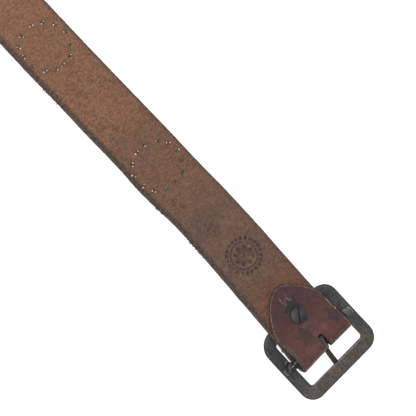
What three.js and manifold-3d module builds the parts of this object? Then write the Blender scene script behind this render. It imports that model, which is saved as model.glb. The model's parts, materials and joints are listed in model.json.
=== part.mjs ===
// A studded leather belt with an open centre-bar buckle, laid out straight on a table with its back side up.
// Millimetres, +Z up. While it is modelled, the buckle's centre bar lies along Y at X 0. +X points to the
// buckle's far bar, and the strap runs away along -X. The finished belt is moved so that its origin is under
// the middle of its box, on the table.
import * as THREE from "three";
import { mergeVertices } from "three/addons/utils/BufferGeometryUtils.js";
import Module from "manifold-3d";

const wasm = await Module();
wasm.setup();

// Leather
const LEATHER = 3.0; // thickness of the hide
const GAP = 0.3; // clearance between pieces that touch
const STRAP_END = -1060; // the free end's tip
const TIP_LENGTH = 26; // from the free end's shoulders to its tip
const HIDE_PART = -130; // X where the one hide is parted into its long stretch and its folded end

// The strap seen from above: y is its middle line and width its full width at each x.
const COURSE = [
  { x: -1034, y: 2.3, width: 39.6 },
  { x: -860, y: 0.7, width: 40.0 },
  { x: -640, y: -0.3, width: 40.0 },
  { x: -440, y: 0.75, width: 40.0 },
  { x: -300, y: 1.45, width: 40.0 },
  { x: -248, y: 1.6, width: 40.15 },
  { x: -228, y: 1.9, width: 39.9 },
  { x: -205, y: 1.95, width: 40.3 },
  { x: -184, y: 2.2, width: 40.4 },
  { x: -166, y: 2.4, width: 40.5 },
  { x: -148, y: 2.2, width: 41.1 },
  { x: -133, y: 2.55, width: 40.5 },
  { x: -114, y: 3.25, width: 39.95 },
  { x: -98, y: 2.95, width: 40.25 },
  { x: -78, y: 2.25, width: 40.85 },
  { x: -57, y: 1.2, width: 41.15 },
  { x: -31, y: 0.1, width: 41.7 },
  { x: -14, y: -0.37, width: 42.75 },
  { x: 12, y: -0.45, width: 44.0 },
];

// The edge of the tab that is folded onto the strap: it was cut by hand to a lopsided point.
const TAB_EDGE = [
  { x: 0, y: 21.5 },
  { x: -12, y: 21.0 },
  { x: -20.3, y: 20.9 },
  { x: -23.6, y: 20.6 },
  { x: -28.0, y: 18.5 },
  { x: -34.2, y: 14.6 },
  { x: -38.4, y: 10.8 },
  { x: -41.8, y: 7.1 },
  { x: -43.2, y: 3.2 },
  { x: -42.8, y: -0.2 },
  { x: -40.9, y: -3.5 },
  { x: -37.8, y: -7.2 },
  { x: -34.0, y: -10.8 },
  { x: -29.7, y: -13.9 },
  { x: -26.0, y: -16.3 },
  { x: -22.0, y: -18.2 },
  { x: -17.2, y: -19.5 },
  { x: -11, y: -19.9 },
  { x: 0, y: -20.6 },
];

// Studs: domes on the front, with two legs each that pass through the hide and are bent inwards on its back.
const STUD_RADIUS = 2.5;
const STUD_HEIGHT = 2.0;
const LEG_SPREAD = 1.45; // from the stud's middle to each leg
const LEG_THICKNESS = 0.5;
const LEG_WIDTH = 1.3;
const RING_RADIUS = 16.0; // to the studs' middles
const RING_PITCH = 104.8;
// Each ring's middle, and for every stud its angle round the ring, how far it strays outwards in millimetres
// and the direction from one leg to the other. Angles and directions are in degrees.
const RINGS = [
  {
    x: -152.95,
    y: 1.4,
    angles: [4, 33, 58, 84.5, 110, 137.5, 169, 195, 224, 250.5, 282, 309, 338],
    strays: [-0.5, 0.9, -0.1, 0.2, 0, -0.6, 0.1, -0.4, 0.4, 0.7, -0.7, 0.3, -0.4],
    legs: [53, 113, 43, 36, 51, 46, 164, 100, 136, 26, 117, 29, 5],
  },
  {
    x: -152.95 - RING_PITCH,
    y: 1.3,
    angles: [26.5, 50.5, 83, 113, 143, 172, 204.5, 228, 252.5, 284, 316, 342, 1.5],
    strays: [1.3, -0.1, 0.1, -0.8, -0.9, 0.2, 0.7, 1.6, -0.7, -1.2, -0.4, -0.1, 0.3],
    legs: [138, 163, 61, 80, 103, 73, 44, 26, 178, 60, 77, 39, 87],
  },
  {
    x: -152.95 - 2 * RING_PITCH,
    y: 1.2,
    angles: [14, 43, 71, 98, 123, 151, 179, 207, 236, 260, 291, 322, 347],
    strays: [0.3, -0.4, 0.5, 0, -0.3, 0.6, -0.2, 0.2, 0.4, -0.5, 0, 0.3, -0.1],
    legs: [72, 40, 128, 95, 15, 63, 150, 48, 84, 170, 37, 112, 58],
  },
];

// Buckle
const FRAME_LENGTH = 53.5; // along X
const FRAME_WIDTH = 62.6; // along Y
const FRAME_MIDDLE = 1.85; // X of the frame's middle, from the centre bar
const FRAME_THICKNESS = 3.0;
const END_BAR = 9.0; // width of the frame's inner and far bars
const SIDE_BAR = 8.2; // width of the frame's sides
const FRAME_CORNER = 10.2; // outer corner radius
const WINDOW_CORNER = 2.2; // inner corner radius
const ARCH_RADIUS = 188; // the frame is bowed along X, with its middle on the table
const NOTCH_WIDTH = 4.4; // the prong's seat under the far bar
const NOTCH_DEPTH = 1.4;

const BAR_RADIUS = 2.0;
const BAR_HEIGHT = 9.4; // height of the centre bar's axis
const LUG_RADIUS = 3.3; // round top of the lugs that carry the bar
const LUG_INNER = 23.0; // the lugs' inner and outer faces along Y
const LUG_OUTER = 28.8;
const LUG_FOOT = 4.6; // half the lugs' foot along X
const BAR_RECESS = 0.4; // from the lugs' outer faces to the bar's ends

// Fold: the strap turns round the bar in a loose loop.
const LOOP_MIDDLE = 2.4; // X of the loop's round end
const LOOP_INNER = 2.7; // its inner radius
const LOOP_HEIGHT = BAR_HEIGHT + LOOP_INNER - BAR_RADIUS - GAP; // height of the loop's middle
const CREST = 6.9; // height of the strap's front face where the screw clamps it
const CLAMP_START = -28; // X of the clamped flat stretch
const CLAMP_END = -15;
const LAYER_GAP = 0.4; // between the strap and the tab that is folded onto it
const STRAP_LEVEL = STUD_HEIGHT + GAP; // the front face's height where studs carry it

// Height of the strap's front face above the table.
const HEIGHTS = [
  { x: STRAP_END, z: 0 },
  { x: -870, z: 0 },
  { x: -800, z: STRAP_LEVEL },
  { x: -130, z: STRAP_LEVEL },
  { x: CLAMP_START, z: CREST },
  { x: CLAMP_END, z: CREST },
  { x: 0, z: LOOP_HEIGHT - LOOP_INNER - LEATHER },
  { x: LOOP_MIDDLE, z: LOOP_HEIGHT - LOOP_INNER - LEATHER },
];

// Prong, and the slot in the fold that it swings in
const PRONG_Y = 1.05;
const PRONG_WIDTH = 3.5;
const PRONG_TIP_WIDTH = 3.1;
const PRONG_TIP = 26.9; // X of its tip
const PRONG_DRIFT = -1.85; // its stem is bent sideways, and its tip lies this far along Y from its eye
const EYE_RADIUS = 3.4;
const SLOT_Y = 0.87;
const SLOT_HALF = 2.18;
const SLOT_BACK_END = -3.4; // X of the slot's end in the tab
const SLOT_FRONT_END = -11.0; // X of the slot's end in the strap

// Screw that clamps the tab
const SCREW = new THREE.Vector2(-21.5, 0.4);
const HEAD_RADIUS = 5.6;
const HEAD_RIM = 0.8; // the head's height at its rim
const HEAD_HEIGHT = 1.8;
const CAP_RADIUS = 5.0;
const CAP_HEIGHT = 1.2;
const BARREL_RADIUS = 2.5;
const SHANK_RADIUS = 1.4;
const DRIVER_SLOT = { width: 1.2, depth: 0.9, turn: -38 };

// Holes near the free end
const HOLE_RADIUS = 2.5;
const HOLE_PITCH = 25;
const HOLE_COUNT = 5;
const FIRST_HOLE = -880;

const RADIANS = Math.PI / 180;
const BEYOND = 40; // far enough for a cutting tool to pass right through

// A closed geometry as a solid, and a solid as a geometry.
function solid(geometry) {
  const bare = geometry.index ? geometry.toNonIndexed() : geometry.clone();
  bare.deleteAttribute("normal");
  bare.deleteAttribute("uv");
  const merged = mergeVertices(bare, 1e-4);
  return new wasm.Manifold(
    new wasm.Mesh({
      numProp: 3,
      vertProperties: new Float32Array(merged.attributes.position.array),
      triVerts: new Uint32Array(merged.index.array),
    }),
  );
}

function geometryOf(made) {
  const mesh = made.getMesh();
  return new THREE.BufferGeometry()
    .setAttribute("position", new THREE.BufferAttribute(mesh.vertProperties, 3))
    .setIndex(new THREE.BufferAttribute(mesh.triVerts, 1));
}

// An outline drawn in X and Y, raised from low to high.
function raised(outline, low, high, curveSegments = 8) {
  const settings = { depth: high - low, bevelEnabled: false, curveSegments };
  return solid(new THREE.ExtrudeGeometry(outline, settings).translate(0, 0, low));
}

// An outline drawn in X and Z, swept along Y from y to y + width.
function swept(outline, y, width, curveSegments = 8) {
  const settings = { depth: width, bevelEnabled: false, curveSegments };
  return solid(
    new THREE.ExtrudeGeometry(outline, settings).rotateX(Math.PI / 2).translate(0, y + width, 0),
  );
}

function box(x0, x1, y0, y1, z0, z1) {
  const made = new THREE.BoxGeometry(x1 - x0, y1 - y0, z1 - z0);
  return solid(made.translate((x0 + x1) / 2, (y0 + y1) / 2, (z0 + z1) / 2));
}

function upright(radius, x, y, low, high, sides) {
  const made = new THREE.CylinderGeometry(radius, radius, high - low, sides).rotateX(Math.PI / 2);
  return solid(made.translate(x, y, (low + high) / 2));
}

function crosswise(radius, x, z, width, sides) {
  return solid(new THREE.CylinderGeometry(radius, radius, width, sides).translate(x, 0, z));
}

// A solid turned about +Z from a profile of [radius, height] rows.
function turned(rows, sides) {
  const profile = rows.map(([radius, height]) => new THREE.Vector2(radius, height));
  return solid(new THREE.LatheGeometry(profile, sides).rotateX(Math.PI / 2));
}

function shapeThrough(points) {
  return new THREE.Shape(points.map(([a, b]) => new THREE.Vector2(a, b)));
}

// A value eased from row to row of a table sorted by x.
function eased(rows, key, x) {
  const next = Math.max(
    1,
    rows.findIndex((row) => row.x >= x),
  );
  const [from, to] = [rows[next - 1], rows[next]];
  return THREE.MathUtils.lerp(from[key], to[key], THREE.MathUtils.smoothstep(x, from.x, to.x));
}

const frontHeight = (x) => eased(HEIGHTS, "z", x);
const steps = (from, to, count) => Array.from({ length: count + 1 }, (_, i) => from + ((to - from) * i) / count);

// Places along the strap where its side view needs a point.
function profilePlaces() {
  return [
    STRAP_END,
    ...steps(-870, -800, 6),
    ...steps(-130, CLAMP_START, 10),
    ...steps(CLAMP_END, 0, 6),
    LOOP_MIDDLE,
  ];
}

// Height of the tab's underside: it lies on the strap, and rises over the bar.
function tabHeight(x) {
  const lying = frontHeight(x) + LEATHER + LAYER_GAP;
  const rows = [
    { x: CLAMP_END, z: CREST + LEATHER + LAYER_GAP },
    { x: 0, z: LOOP_HEIGHT + LOOP_INNER },
    { x: LOOP_MIDDLE, z: LOOP_HEIGHT + LOOP_INNER },
  ];
  return x <= CLAMP_END ? lying : eased(rows, "z", x);
}

// The strap's side view: one hide's thickness, ending in the round of the fold.
function strapSide() {
  const places = profilePlaces();
  const front = places.map((x) => [x, frontHeight(x)]);
  const back = places.map((x) => [x, frontHeight(x) + LEATHER]).reverse();
  const arc = (radius, from, to) =>
    steps(from, to, 10).map((angle) => [
      LOOP_MIDDLE + radius * Math.cos(angle * RADIANS),
      LOOP_HEIGHT + radius * Math.sin(angle * RADIANS),
    ]);
  const joinsTab = LOOP_MIDDLE - 1;
  return shapeThrough([
    ...front.slice(0, -1),
    ...arc(LOOP_INNER + LEATHER, -90, 90),
    [joinsTab, LOOP_HEIGHT + LOOP_INNER + LEATHER],
    [joinsTab, LOOP_HEIGHT + LOOP_INNER],
    ...arc(LOOP_INNER, 90, -90),
    ...back.slice(1),
  ]);
}

function tabSide() {
  const places = [...steps(-46, CLAMP_START, 3), ...steps(CLAMP_END, 0, 6), LOOP_MIDDLE - 0.5];
  const under = places.map((x) => [x, tabHeight(x)]);
  const over = places.map((x) => [x, tabHeight(x) + LEATHER]).reverse();
  return shapeThrough([...under, ...over]);
}

// The strap from above: its two edges, and a pointed free end.
function strapPlan() {
  const course = new THREE.CatmullRomCurve3(
    COURSE.map((row) => new THREE.Vector3(row.x, row.y, row.width)),
    false,
    "centripetal",
  );
  const places = course.getPoints(3 * (COURSE.length - 1));
  const [tail, head] = [places[0], places[places.length - 1]];
  const outline = new THREE.Shape();
  outline.moveTo(head.x, head.y - head.z / 2);
  outline.lineTo(head.x, head.y + head.z / 2);
  for (const at of [...places].reverse()) outline.lineTo(at.x, at.y + at.z / 2);
  const tip = new THREE.Vector2(tail.x - TIP_LENGTH, tail.y);
  outline.quadraticCurveTo(tip.x + 0.3 * TIP_LENGTH, tip.y + 0.32 * tail.z, tip.x, tip.y);
  outline.quadraticCurveTo(tip.x + 0.3 * TIP_LENGTH, tip.y - 0.32 * tail.z, tail.x, tail.y - tail.z / 2);
  for (const at of places.slice(1, -1)) outline.lineTo(at.x, at.y - at.z / 2);
  return outline;
}

// The tab from above.
function tabPlan() {
  const edge = new THREE.SplineCurve(TAB_EDGE.map((row) => new THREE.Vector2(row.x, row.y)));
  const [first, last] = [TAB_EDGE[0], TAB_EDGE[TAB_EDGE.length - 1]];
  const outline = new THREE.Shape();
  outline.moveTo(LOOP_MIDDLE, last.y);
  outline.lineTo(LOOP_MIDDLE, first.y);
  for (const at of edge.getPoints(3 * (TAB_EDGE.length - 1))) outline.lineTo(at.x, at.y);
  return outline;
}

// The prong's slot from above, with a round end.
function slotPlan(end) {
  const middle = end + SLOT_HALF;
  const outline = new THREE.Shape();
  outline.moveTo(LOOP_MIDDLE + BEYOND, SLOT_Y - SLOT_HALF);
  outline.lineTo(LOOP_MIDDLE + BEYOND, SLOT_Y + SLOT_HALF);
  outline.lineTo(middle, SLOT_Y + SLOT_HALF);
  outline.absarc(middle, SLOT_Y, SLOT_HALF, Math.PI / 2, -Math.PI / 2, false);
  return outline;
}

// Every stud's place and the turn of its legs.
function studPlaces(ring) {
  return ring.angles.map((angle, i) => {
    const out = RING_RADIUS + ring.strays[i];
    return {
      x: ring.x + out * Math.cos(angle * RADIANS),
      y: ring.y + out * Math.sin(angle * RADIANS),
      turn: ring.legs[i] * RADIANS,
    };
  });
}

const placed = (made, at) => made.rotate([0, 0, at.turn / RADIANS]).translate([at.x, at.y, 0]);

// The hide, whole: the strap, its fold round the bar and the tab.
function makeHide() {
  const wide = 60;
  const sole = swept(strapSide(), -wide / 2, wide).intersect(raised(strapPlan(), -1, BEYOND));
  const tab = swept(tabSide(), -wide / 2, wide).intersect(raised(tabPlan(), -1, BEYOND));
  const slot = raised(slotPlan(SLOT_BACK_END), LOOP_HEIGHT, BEYOND).add(
    raised(slotPlan(SLOT_FRONT_END), -1, LOOP_HEIGHT + 0.1),
  );
  let strap = sole.add(tab).subtract(slot);
  strap = strap.subtract(upright(BARREL_RADIUS + GAP, SCREW.x, SCREW.y, 0, BEYOND, 16));
  const course = COURSE.map((row) => ({ x: row.x, y: row.y }));
  for (let i = 0; i < HOLE_COUNT; i++) {
    const x = FIRST_HOLE - i * HOLE_PITCH;
    strap = strap.subtract(upright(HOLE_RADIUS, x, eased(course, "y", x), -1, BEYOND, 16));
  }
  const slitHalf = { x: LEG_THICKNESS / 2 + GAP, y: LEG_WIDTH / 2 + GAP };
  const slit = (side) =>
    box(
      side * LEG_SPREAD - slitHalf.x,
      side * LEG_SPREAD + slitHalf.x,
      -slitHalf.y,
      slitHalf.y,
      0,
      BEYOND / 2,
    );
  const slits = slit(-1).add(slit(1));
  for (const ring of RINGS)
    for (const at of studPlaces(ring)) strap = strap.subtract(placed(slits, at));
  return strap;
}

// The stretch of the hide between two places along it.
const stretch = (hide, from, to) => hide.intersect(box(from, to, -BEYOND, BEYOND, -1, BEYOND));

function makeStud(at) {
  const dome = turned(
    [
      [0, 0],
      [0.45 * STUD_RADIUS, 0.12 * STUD_HEIGHT],
      [0.82 * STUD_RADIUS, 0.42 * STUD_HEIGHT],
      [STUD_RADIUS, STUD_HEIGHT],
      [0, STUD_HEIGHT],
    ],
    12,
  );
  const bent = STRAP_LEVEL + LEATHER + GAP;
  const leg = (side) => {
    const [near, far] = [side * 0.35, side * (LEG_SPREAD + LEG_THICKNESS / 2)];
    const inner = far - side * LEG_THICKNESS;
    const half = LEG_WIDTH / 2;
    const post = box(Math.min(inner, far), Math.max(inner, far), -half, half, STUD_HEIGHT - 0.5, bent + LEG_THICKNESS);
    return post.add(box(Math.min(near, far), Math.max(near, far), -half, half, bent, bent + LEG_THICKNESS));
  };
  return placed(dome.add(leg(-1)).add(leg(1)), at);
}

// A rectangle in X and Y with round corners.
function roundedRectangle(Path, x0, x1, y0, y1, radius) {
  const outline = new Path();
  outline.moveTo(x0 + radius, y0);
  outline.absarc(x1 - radius, y0 + radius, radius, -Math.PI / 2, 0, false);
  outline.absarc(x1 - radius, y1 - radius, radius, 0, Math.PI / 2, false);
  outline.absarc(x0 + radius, y1 - radius, radius, Math.PI / 2, Math.PI, false);
  outline.absarc(x0 + radius, y0 + radius, radius, Math.PI, 1.5 * Math.PI, false);
  return outline;
}

const archHeight = (x) => (x - FRAME_MIDDLE) ** 2 / (2 * ARCH_RADIUS);

// The lugs' side view: a wide foot that narrows to a round top about the bar.
function lugSide() {
  const outline = new THREE.Shape();
  const shoulder = 20 * RADIANS;
  outline.moveTo(-LUG_FOOT, FRAME_THICKNESS / 2);
  outline.lineTo(LUG_FOOT, FRAME_THICKNESS / 2);
  outline.absarc(0, BAR_HEIGHT, LUG_RADIUS, -shoulder, Math.PI + shoulder, false);
  return outline;
}

function makeFrame() {
  const [x0, x1] = [FRAME_MIDDLE - FRAME_LENGTH / 2, FRAME_MIDDLE + FRAME_LENGTH / 2];
  const half = FRAME_WIDTH / 2;
  const plan = roundedRectangle(THREE.Shape, x0, x1, -half, half, FRAME_CORNER);
  const window = [x0 + END_BAR, x1 - END_BAR, SIDE_BAR - half, half - SIDE_BAR, WINDOW_CORNER];
  plan.holes.push(roundedRectangle(THREE.Path, ...window));
  const places = steps(x0 - 1, x1 + 1, 14);
  const arched = (low, high) =>
    shapeThrough([
      ...places.map((x) => [x, low(x)]),
      ...places.map((x) => [x, high(x)]).reverse(),
    ]);
  const band = arched(archHeight, (x) => archHeight(x) + FRAME_THICKNESS);
  let frame = swept(band, -half - 1, FRAME_WIDTH + 2).intersect(raised(plan, -1, BEYOND, 6));
  const groove = arched(
    () => -1,
    (x) => archHeight(x) + NOTCH_DEPTH,
  );
  const farBar = box(x1 - END_BAR - 1, x1 + 2, -half, half, -2, BEYOND);
  const seat = PRONG_Y + 0.86 * PRONG_DRIFT - NOTCH_WIDTH / 2;
  frame = frame.subtract(swept(groove, seat, NOTCH_WIDTH).intersect(farBar));
  for (const y of [LUG_INNER, -LUG_OUTER]) frame = frame.add(swept(lugSide(), y, LUG_OUTER - LUG_INNER, 12));
  return frame.subtract(crosswise(BAR_RADIUS + GAP, 0, BAR_HEIGHT, FRAME_WIDTH, 20));
}

// The bar, with its ends set in the lugs.
function makeCentreBar() {
  const end = LUG_OUTER - BAR_RECESS;
  const rows = [
    [0, -end],
    [BAR_RADIUS - 0.4, -end],
    [BAR_RADIUS, 0.4 - end],
    [BAR_RADIUS, end - 0.4],
    [BAR_RADIUS - 0.4, end],
    [0, end],
  ];
  const points = rows.map(([radius, y]) => new THREE.Vector2(radius, y));
  return solid(new THREE.LatheGeometry(points, 20).translate(0, 0, BAR_HEIGHT));
}

// The prong: an eye round the bar, a raised root, and a stem that slopes down to its seat under the far bar.
function makeProng() {
  const stem = new THREE.Shape();
  stem.moveTo(0, BAR_HEIGHT - EYE_RADIUS);
  stem.lineTo(16.8, 0.75);
  stem.quadraticCurveTo(18.5, 0.15, 20.5, 0.22);
  stem.lineTo(PRONG_TIP - 1, 0.75);
  stem.quadraticCurveTo(PRONG_TIP, 0.95, PRONG_TIP, 1.6);
  stem.quadraticCurveTo(PRONG_TIP, 2.4, PRONG_TIP - 1.2, 2.3);
  stem.lineTo(20.5, 1.95);
  stem.quadraticCurveTo(19.0, 1.85, 17.2, 2.6);
  stem.lineTo(9.4, 5.4);
  stem.lineTo(8.4, 7.3);
  stem.quadraticCurveTo(7.9, 8.5, 6.8, 8.95);
  stem.lineTo(3.2, BAR_HEIGHT + 0.85);
  stem.lineTo(0, BAR_HEIGHT);
  const eye = crosswise(EYE_RADIUS, 0, BAR_HEIGHT, PRONG_WIDTH, 24).translate([0, PRONG_Y, 0]);
  const side = eye.add(swept(stem, PRONG_Y - 2 * PRONG_WIDTH, 4 * PRONG_WIDTH, 5));
  const [half, tipHalf] = [PRONG_WIDTH / 2, PRONG_TIP_WIDTH / 2];
  const [tipX, tipY] = [PRONG_TIP - tipHalf, PRONG_Y + PRONG_DRIFT];
  const plan = new THREE.Shape();
  plan.moveTo(-EYE_RADIUS - 1, PRONG_Y - half);
  plan.lineTo(EYE_RADIUS, PRONG_Y - half);
  plan.lineTo(tipX, tipY - tipHalf);
  plan.absarc(tipX, tipY, tipHalf, -Math.PI / 2, Math.PI / 2, false);
  plan.lineTo(EYE_RADIUS, PRONG_Y + half);
  plan.lineTo(-EYE_RADIUS - 1, PRONG_Y + half);
  const bore = crosswise(BAR_RADIUS + GAP, 0, BAR_HEIGHT, FRAME_WIDTH, 20);
  return side.intersect(raised(plan, -1, BEYOND)).subtract(bore);
}

const capTop = CREST - GAP;
const headBottom = CREST + 2 * LEATHER + LAYER_GAP + GAP;

// The screw's post: a flat cap on the strap's front, and a hollow barrel through both layers.
function makeScrewPost() {
  const low = capTop - CAP_HEIGHT;
  const post = turned(
    [
      [0, low],
      [CAP_RADIUS - 0.5, low],
      [CAP_RADIUS, low + 0.4],
      [CAP_RADIUS, capTop],
      [BARREL_RADIUS, capTop],
      [BARREL_RADIUS, headBottom - GAP],
      [SHANK_RADIUS + GAP, headBottom - GAP],
      [SHANK_RADIUS + GAP, capTop],
      [0, capTop],
    ],
    20,
  );
  return post.translate([SCREW.x, SCREW.y, 0]);
}

// The screw: a domed, slotted head on the tab, and a shank inside the post.
function makeScrew() {
  const doming = steps(0, 1, 3).map((t) => [
    HEAD_RADIUS * Math.cos((t * Math.PI) / 2),
    headBottom + HEAD_RIM + (HEAD_HEIGHT - HEAD_RIM) * Math.sin((t * Math.PI) / 2),
  ]);
  const screw = turned(
    [
      [0, capTop + GAP],
      [SHANK_RADIUS, capTop + GAP],
      [SHANK_RADIUS, headBottom],
      [HEAD_RADIUS - 0.3, headBottom],
      [HEAD_RADIUS, headBottom + 0.3],
      ...doming.slice(0, -1),
      [0, headBottom + HEAD_HEIGHT],
    ],
    24,
  );
  const half = DRIVER_SLOT.width / 2;
  const top = headBottom + HEAD_HEIGHT;
  const slot = box(-HEAD_RADIUS - 1, HEAD_RADIUS + 1, -half, half, top - DRIVER_SLOT.depth, top + 1);
  return screw.subtract(slot.rotate([0, 0, DRIVER_SLOT.turn])).translate([SCREW.x, SCREW.y, 0]);
}

const leather = new THREE.MeshStandardMaterial({ color: 0x8b6550, roughness: 0.9 });
const gunmetal = new THREE.MeshStandardMaterial({ color: 0x4c4a46, roughness: 0.45, metalness: 0.9 });
const nickel = new THREE.MeshStandardMaterial({ color: 0x9a9c94, roughness: 0.35, metalness: 0.9 });

const belt = new THREE.Group();

function add(name, made, material) {
  const mesh = new THREE.Mesh(geometryOf(made), material);
  mesh.name = name;
  belt.add(mesh);
}

const whole = makeHide();
add("strap", stretch(whole, STRAP_END - 1, HIDE_PART - GAP / 2), leather);
add("strap_fold", stretch(whole, HIDE_PART + GAP / 2, BEYOND), leather);
add("buckle_frame", makeFrame(), gunmetal);
add("centre_bar", makeCentreBar(), gunmetal);
add("prong", makeProng(), gunmetal);
add("screw_post", makeScrewPost(), gunmetal);
add("screw", makeScrew(), gunmetal);
RINGS.forEach((ring, r) =>
  studPlaces(ring).forEach((at, i) =>
    add(`stud_${r + 1}_${String(i + 1).padStart(2, "0")}`, makeStud(at), nickel),
  ),
);

const extent = new THREE.Box3().setFromObject(belt);
const middle = extent.getCenter(new THREE.Vector3());
belt.position.set(-middle.x, -middle.y, -extent.min.z);

export default belt;
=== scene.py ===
# A studded leather belt, laid out straight with its back up and its end folded round a centre-bar buckle.
# Sizes are in millimetres from the buckle's centre bar, with the strap along -X, until a mesh is placed.
import json
import math
import random

import bmesh
import bpy
import numpy as np
from mathutils import Matrix, Vector, noise
from mathutils.geometry import delaunay_2d_cdt
from mathutils.kdtree import KDTree

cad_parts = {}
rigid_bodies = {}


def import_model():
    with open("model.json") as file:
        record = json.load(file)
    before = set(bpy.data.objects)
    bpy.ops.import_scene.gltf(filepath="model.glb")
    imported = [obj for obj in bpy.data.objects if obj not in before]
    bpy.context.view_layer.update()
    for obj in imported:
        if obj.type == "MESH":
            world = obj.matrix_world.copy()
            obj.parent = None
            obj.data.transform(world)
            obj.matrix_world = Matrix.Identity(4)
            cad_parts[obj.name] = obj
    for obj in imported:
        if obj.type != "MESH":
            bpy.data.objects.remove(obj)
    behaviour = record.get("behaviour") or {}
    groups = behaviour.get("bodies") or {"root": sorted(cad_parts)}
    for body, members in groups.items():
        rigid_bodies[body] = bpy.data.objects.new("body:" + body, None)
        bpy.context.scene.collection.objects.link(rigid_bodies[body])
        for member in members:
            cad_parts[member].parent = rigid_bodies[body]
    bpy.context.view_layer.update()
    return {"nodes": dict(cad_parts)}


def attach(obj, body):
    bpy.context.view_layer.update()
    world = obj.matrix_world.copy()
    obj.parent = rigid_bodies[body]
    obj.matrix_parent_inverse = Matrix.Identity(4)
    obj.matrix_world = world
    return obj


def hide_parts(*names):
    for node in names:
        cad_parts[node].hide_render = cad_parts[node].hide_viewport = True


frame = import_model()

BAR_X = 515.7   # the bar's place along X in the belt's own frame

# Leather
LEATHER = 3.0
STRAP_END = -1060.0
TIP_LENGTH = 26.0
VISIBLE_END = -335.0   # the strap is meshed finely from here to the buckle
COURSE = [   # x, middle line y, width
    (-1034, 2.3, 39.6), (-860, 0.7, 40.0), (-640, -0.3, 40.0), (-440, 0.75, 40.0), (-300, 1.45, 40.0),
    (-248, 1.6, 40.15), (-228, 1.9, 39.9), (-205, 1.95, 40.3), (-184, 2.2, 40.4), (-166, 2.4, 40.5),
    (-148, 2.2, 41.1), (-133, 2.55, 40.5), (-114, 3.25, 39.95), (-98, 2.95, 40.25), (-78, 2.25, 40.85),
    (-57, 1.2, 41.15), (-31, 0.1, 41.7), (-14, -0.42, 42.85), (-6, -0.6, 43.45), (12, -0.45, 44.0),
]
TAB_EDGE = [   # x, y, from the fold's lower side round the tab's point to its upper side
    (0, -20.8), (-11.4, -20.6), (-18.4, -20.7), (-23.4, -19.6), (-27.3, -17.6), (-31.1, -15.3),
    (-35.3, -12.2), (-39.1, -8.5), (-41.8, -4.5), (-43.5, -0.9), (-43.6, 2.9), (-41.8, 7.1),
    (-38.4, 10.8), (-34.2, 14.6), (-28.0, 18.5), (-23.6, 20.6), (-20.3, 20.9), (-12, 21.0), (0, 21.5),
]
HEIGHTS = [   # x, height of the strap's front face
    (-1060, 0.0), (-870, 0.0), (-800, 2.3), (-130, 2.3), (-28, 6.9), (-15, 6.9), (0, 4.1), (2.4, 4.1),
]
LOOP_X, LOOP_Z, LOOP_RADIUS = 2.4, 9.8, 5.7
TAB_RISE = 6.4   # from the strap's front face to the tab's, where the tab lies on it
SCREW_X, SCREW_Y, SCREW_HOLE = -21.5, 0.4, 2.8
HOLES = [-880, -905, -930, -955, -980]
HOLE_RADIUS = 2.5
SLOT_Y, SLOT_HALF = 1.24, 1.85
SLOT_FRONT, SLOT_BACK = -9.13, -1.53   # X of the middles of the slot's round ends

# Studs
RING_RADIUS, RING_PITCH = 16.0, 104.8
RINGS = [   # middle x and y, then for each stud its angle, stray outwards, direction of its legs and dullness
    (-152.95, 1.4,
     (4, 33, 58, 84.5, 110, 137.5, 169, 195, 224, 250.5, 282, 309, 338),
     (-0.5, 0.9, -0.1, 0.2, 0, -0.6, 0.1, -0.4, 0.4, 0.7, -0.7, 0.3, -0.4),
     (53, 113, 43, 36, 51, 46, 164, 100, 136, 26, 117, 29, 5),
     (0.7, 0.8, 0.9, 0.5, 0.2, 0.8, 0.4, 0.1, 0.0, 0.1, 0.2, 0.3, 0.7)),
    (-257.75, 1.3,
     (26.5, 50.5, 83, 113, 143, 172, 204.5, 228, 252.5, 284, 316, 342, 1.5),
     (1.3, -0.1, 0.1, -0.8, -0.9, 0.2, 0.7, 1.6, -0.7, -1.2, -0.4, -0.1, 0.3),
     (138, 163, 61, 80, 103, 73, 44, 26, 178, 60, 77, 39, 87),
     (0.1, 0.8, 0.4, 0.1, 0.0, 0.5, 0.0, 0.2, 0.3, 0.7, 0.2, 0.4, 0.4)),
    (-362.55, 1.2,
     (14, 43, 71, 98, 123, 151, 179, 207, 236, 260, 291, 322, 347),
     (0.3, -0.4, 0.5, 0, -0.3, 0.6, -0.2, 0.2, 0.4, -0.5, 0, 0.3, -0.1),
     (72, 40, 128, 95, 15, 63, 150, 48, 84, 170, 37, 112, 58),
     (0.2, 0.5, 0.1, 0.6, 0.3, 0.2, 0.8, 0.1, 0.4, 0.3, 0.6, 0.2, 0.4)),
]
MORE_RINGS = 4
STUD_RADIUS = 2.5
STUD_SEAT = 2.3   # from a stud's lowest point up to the strap's front face

# Buckle
FRAME_MIDDLE, FRAME_LENGTH, FRAME_WIDTH = 1.85, 53.5, 62.6
END_BAR, SIDE_BAR, WINDOW_CORNER, ARCH_RADIUS = 9.0, 8.2, 2.2, 188.0
FRAME_CORNERS = (9.3, 10.0, 10.5, 12.0)   # anticlockwise from the far bar's lower end
BAR_RADIUS, BAR_HEIGHT, BAR_END = 2.0, 9.4, 28.4
EYE_Y, NOTCH_Y = 1.28, -0.541   # of the prong's eye on the bar, and of the notch under the far bar
HEAD_BOTTOM, HEAD_RADIUS, HEAD_HEIGHT = 13.35, 5.6, 2.05
SLOT_TURN = -38.0


def smooth(t):
    t = np.clip(t, 0, 1)
    return t * t * (3 - 2 * t)


def eased(rows, x):
    """The value of rows of (x, value) at each x, eased from row to row."""
    xs, values = np.array(rows, float).T
    i = np.clip(np.searchsorted(xs, x) - 1, 0, len(xs) - 2)
    t = smooth((x - xs[i]) / (xs[i + 1] - xs[i]))
    return values[i] + (values[i + 1] - values[i]) * t


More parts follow.
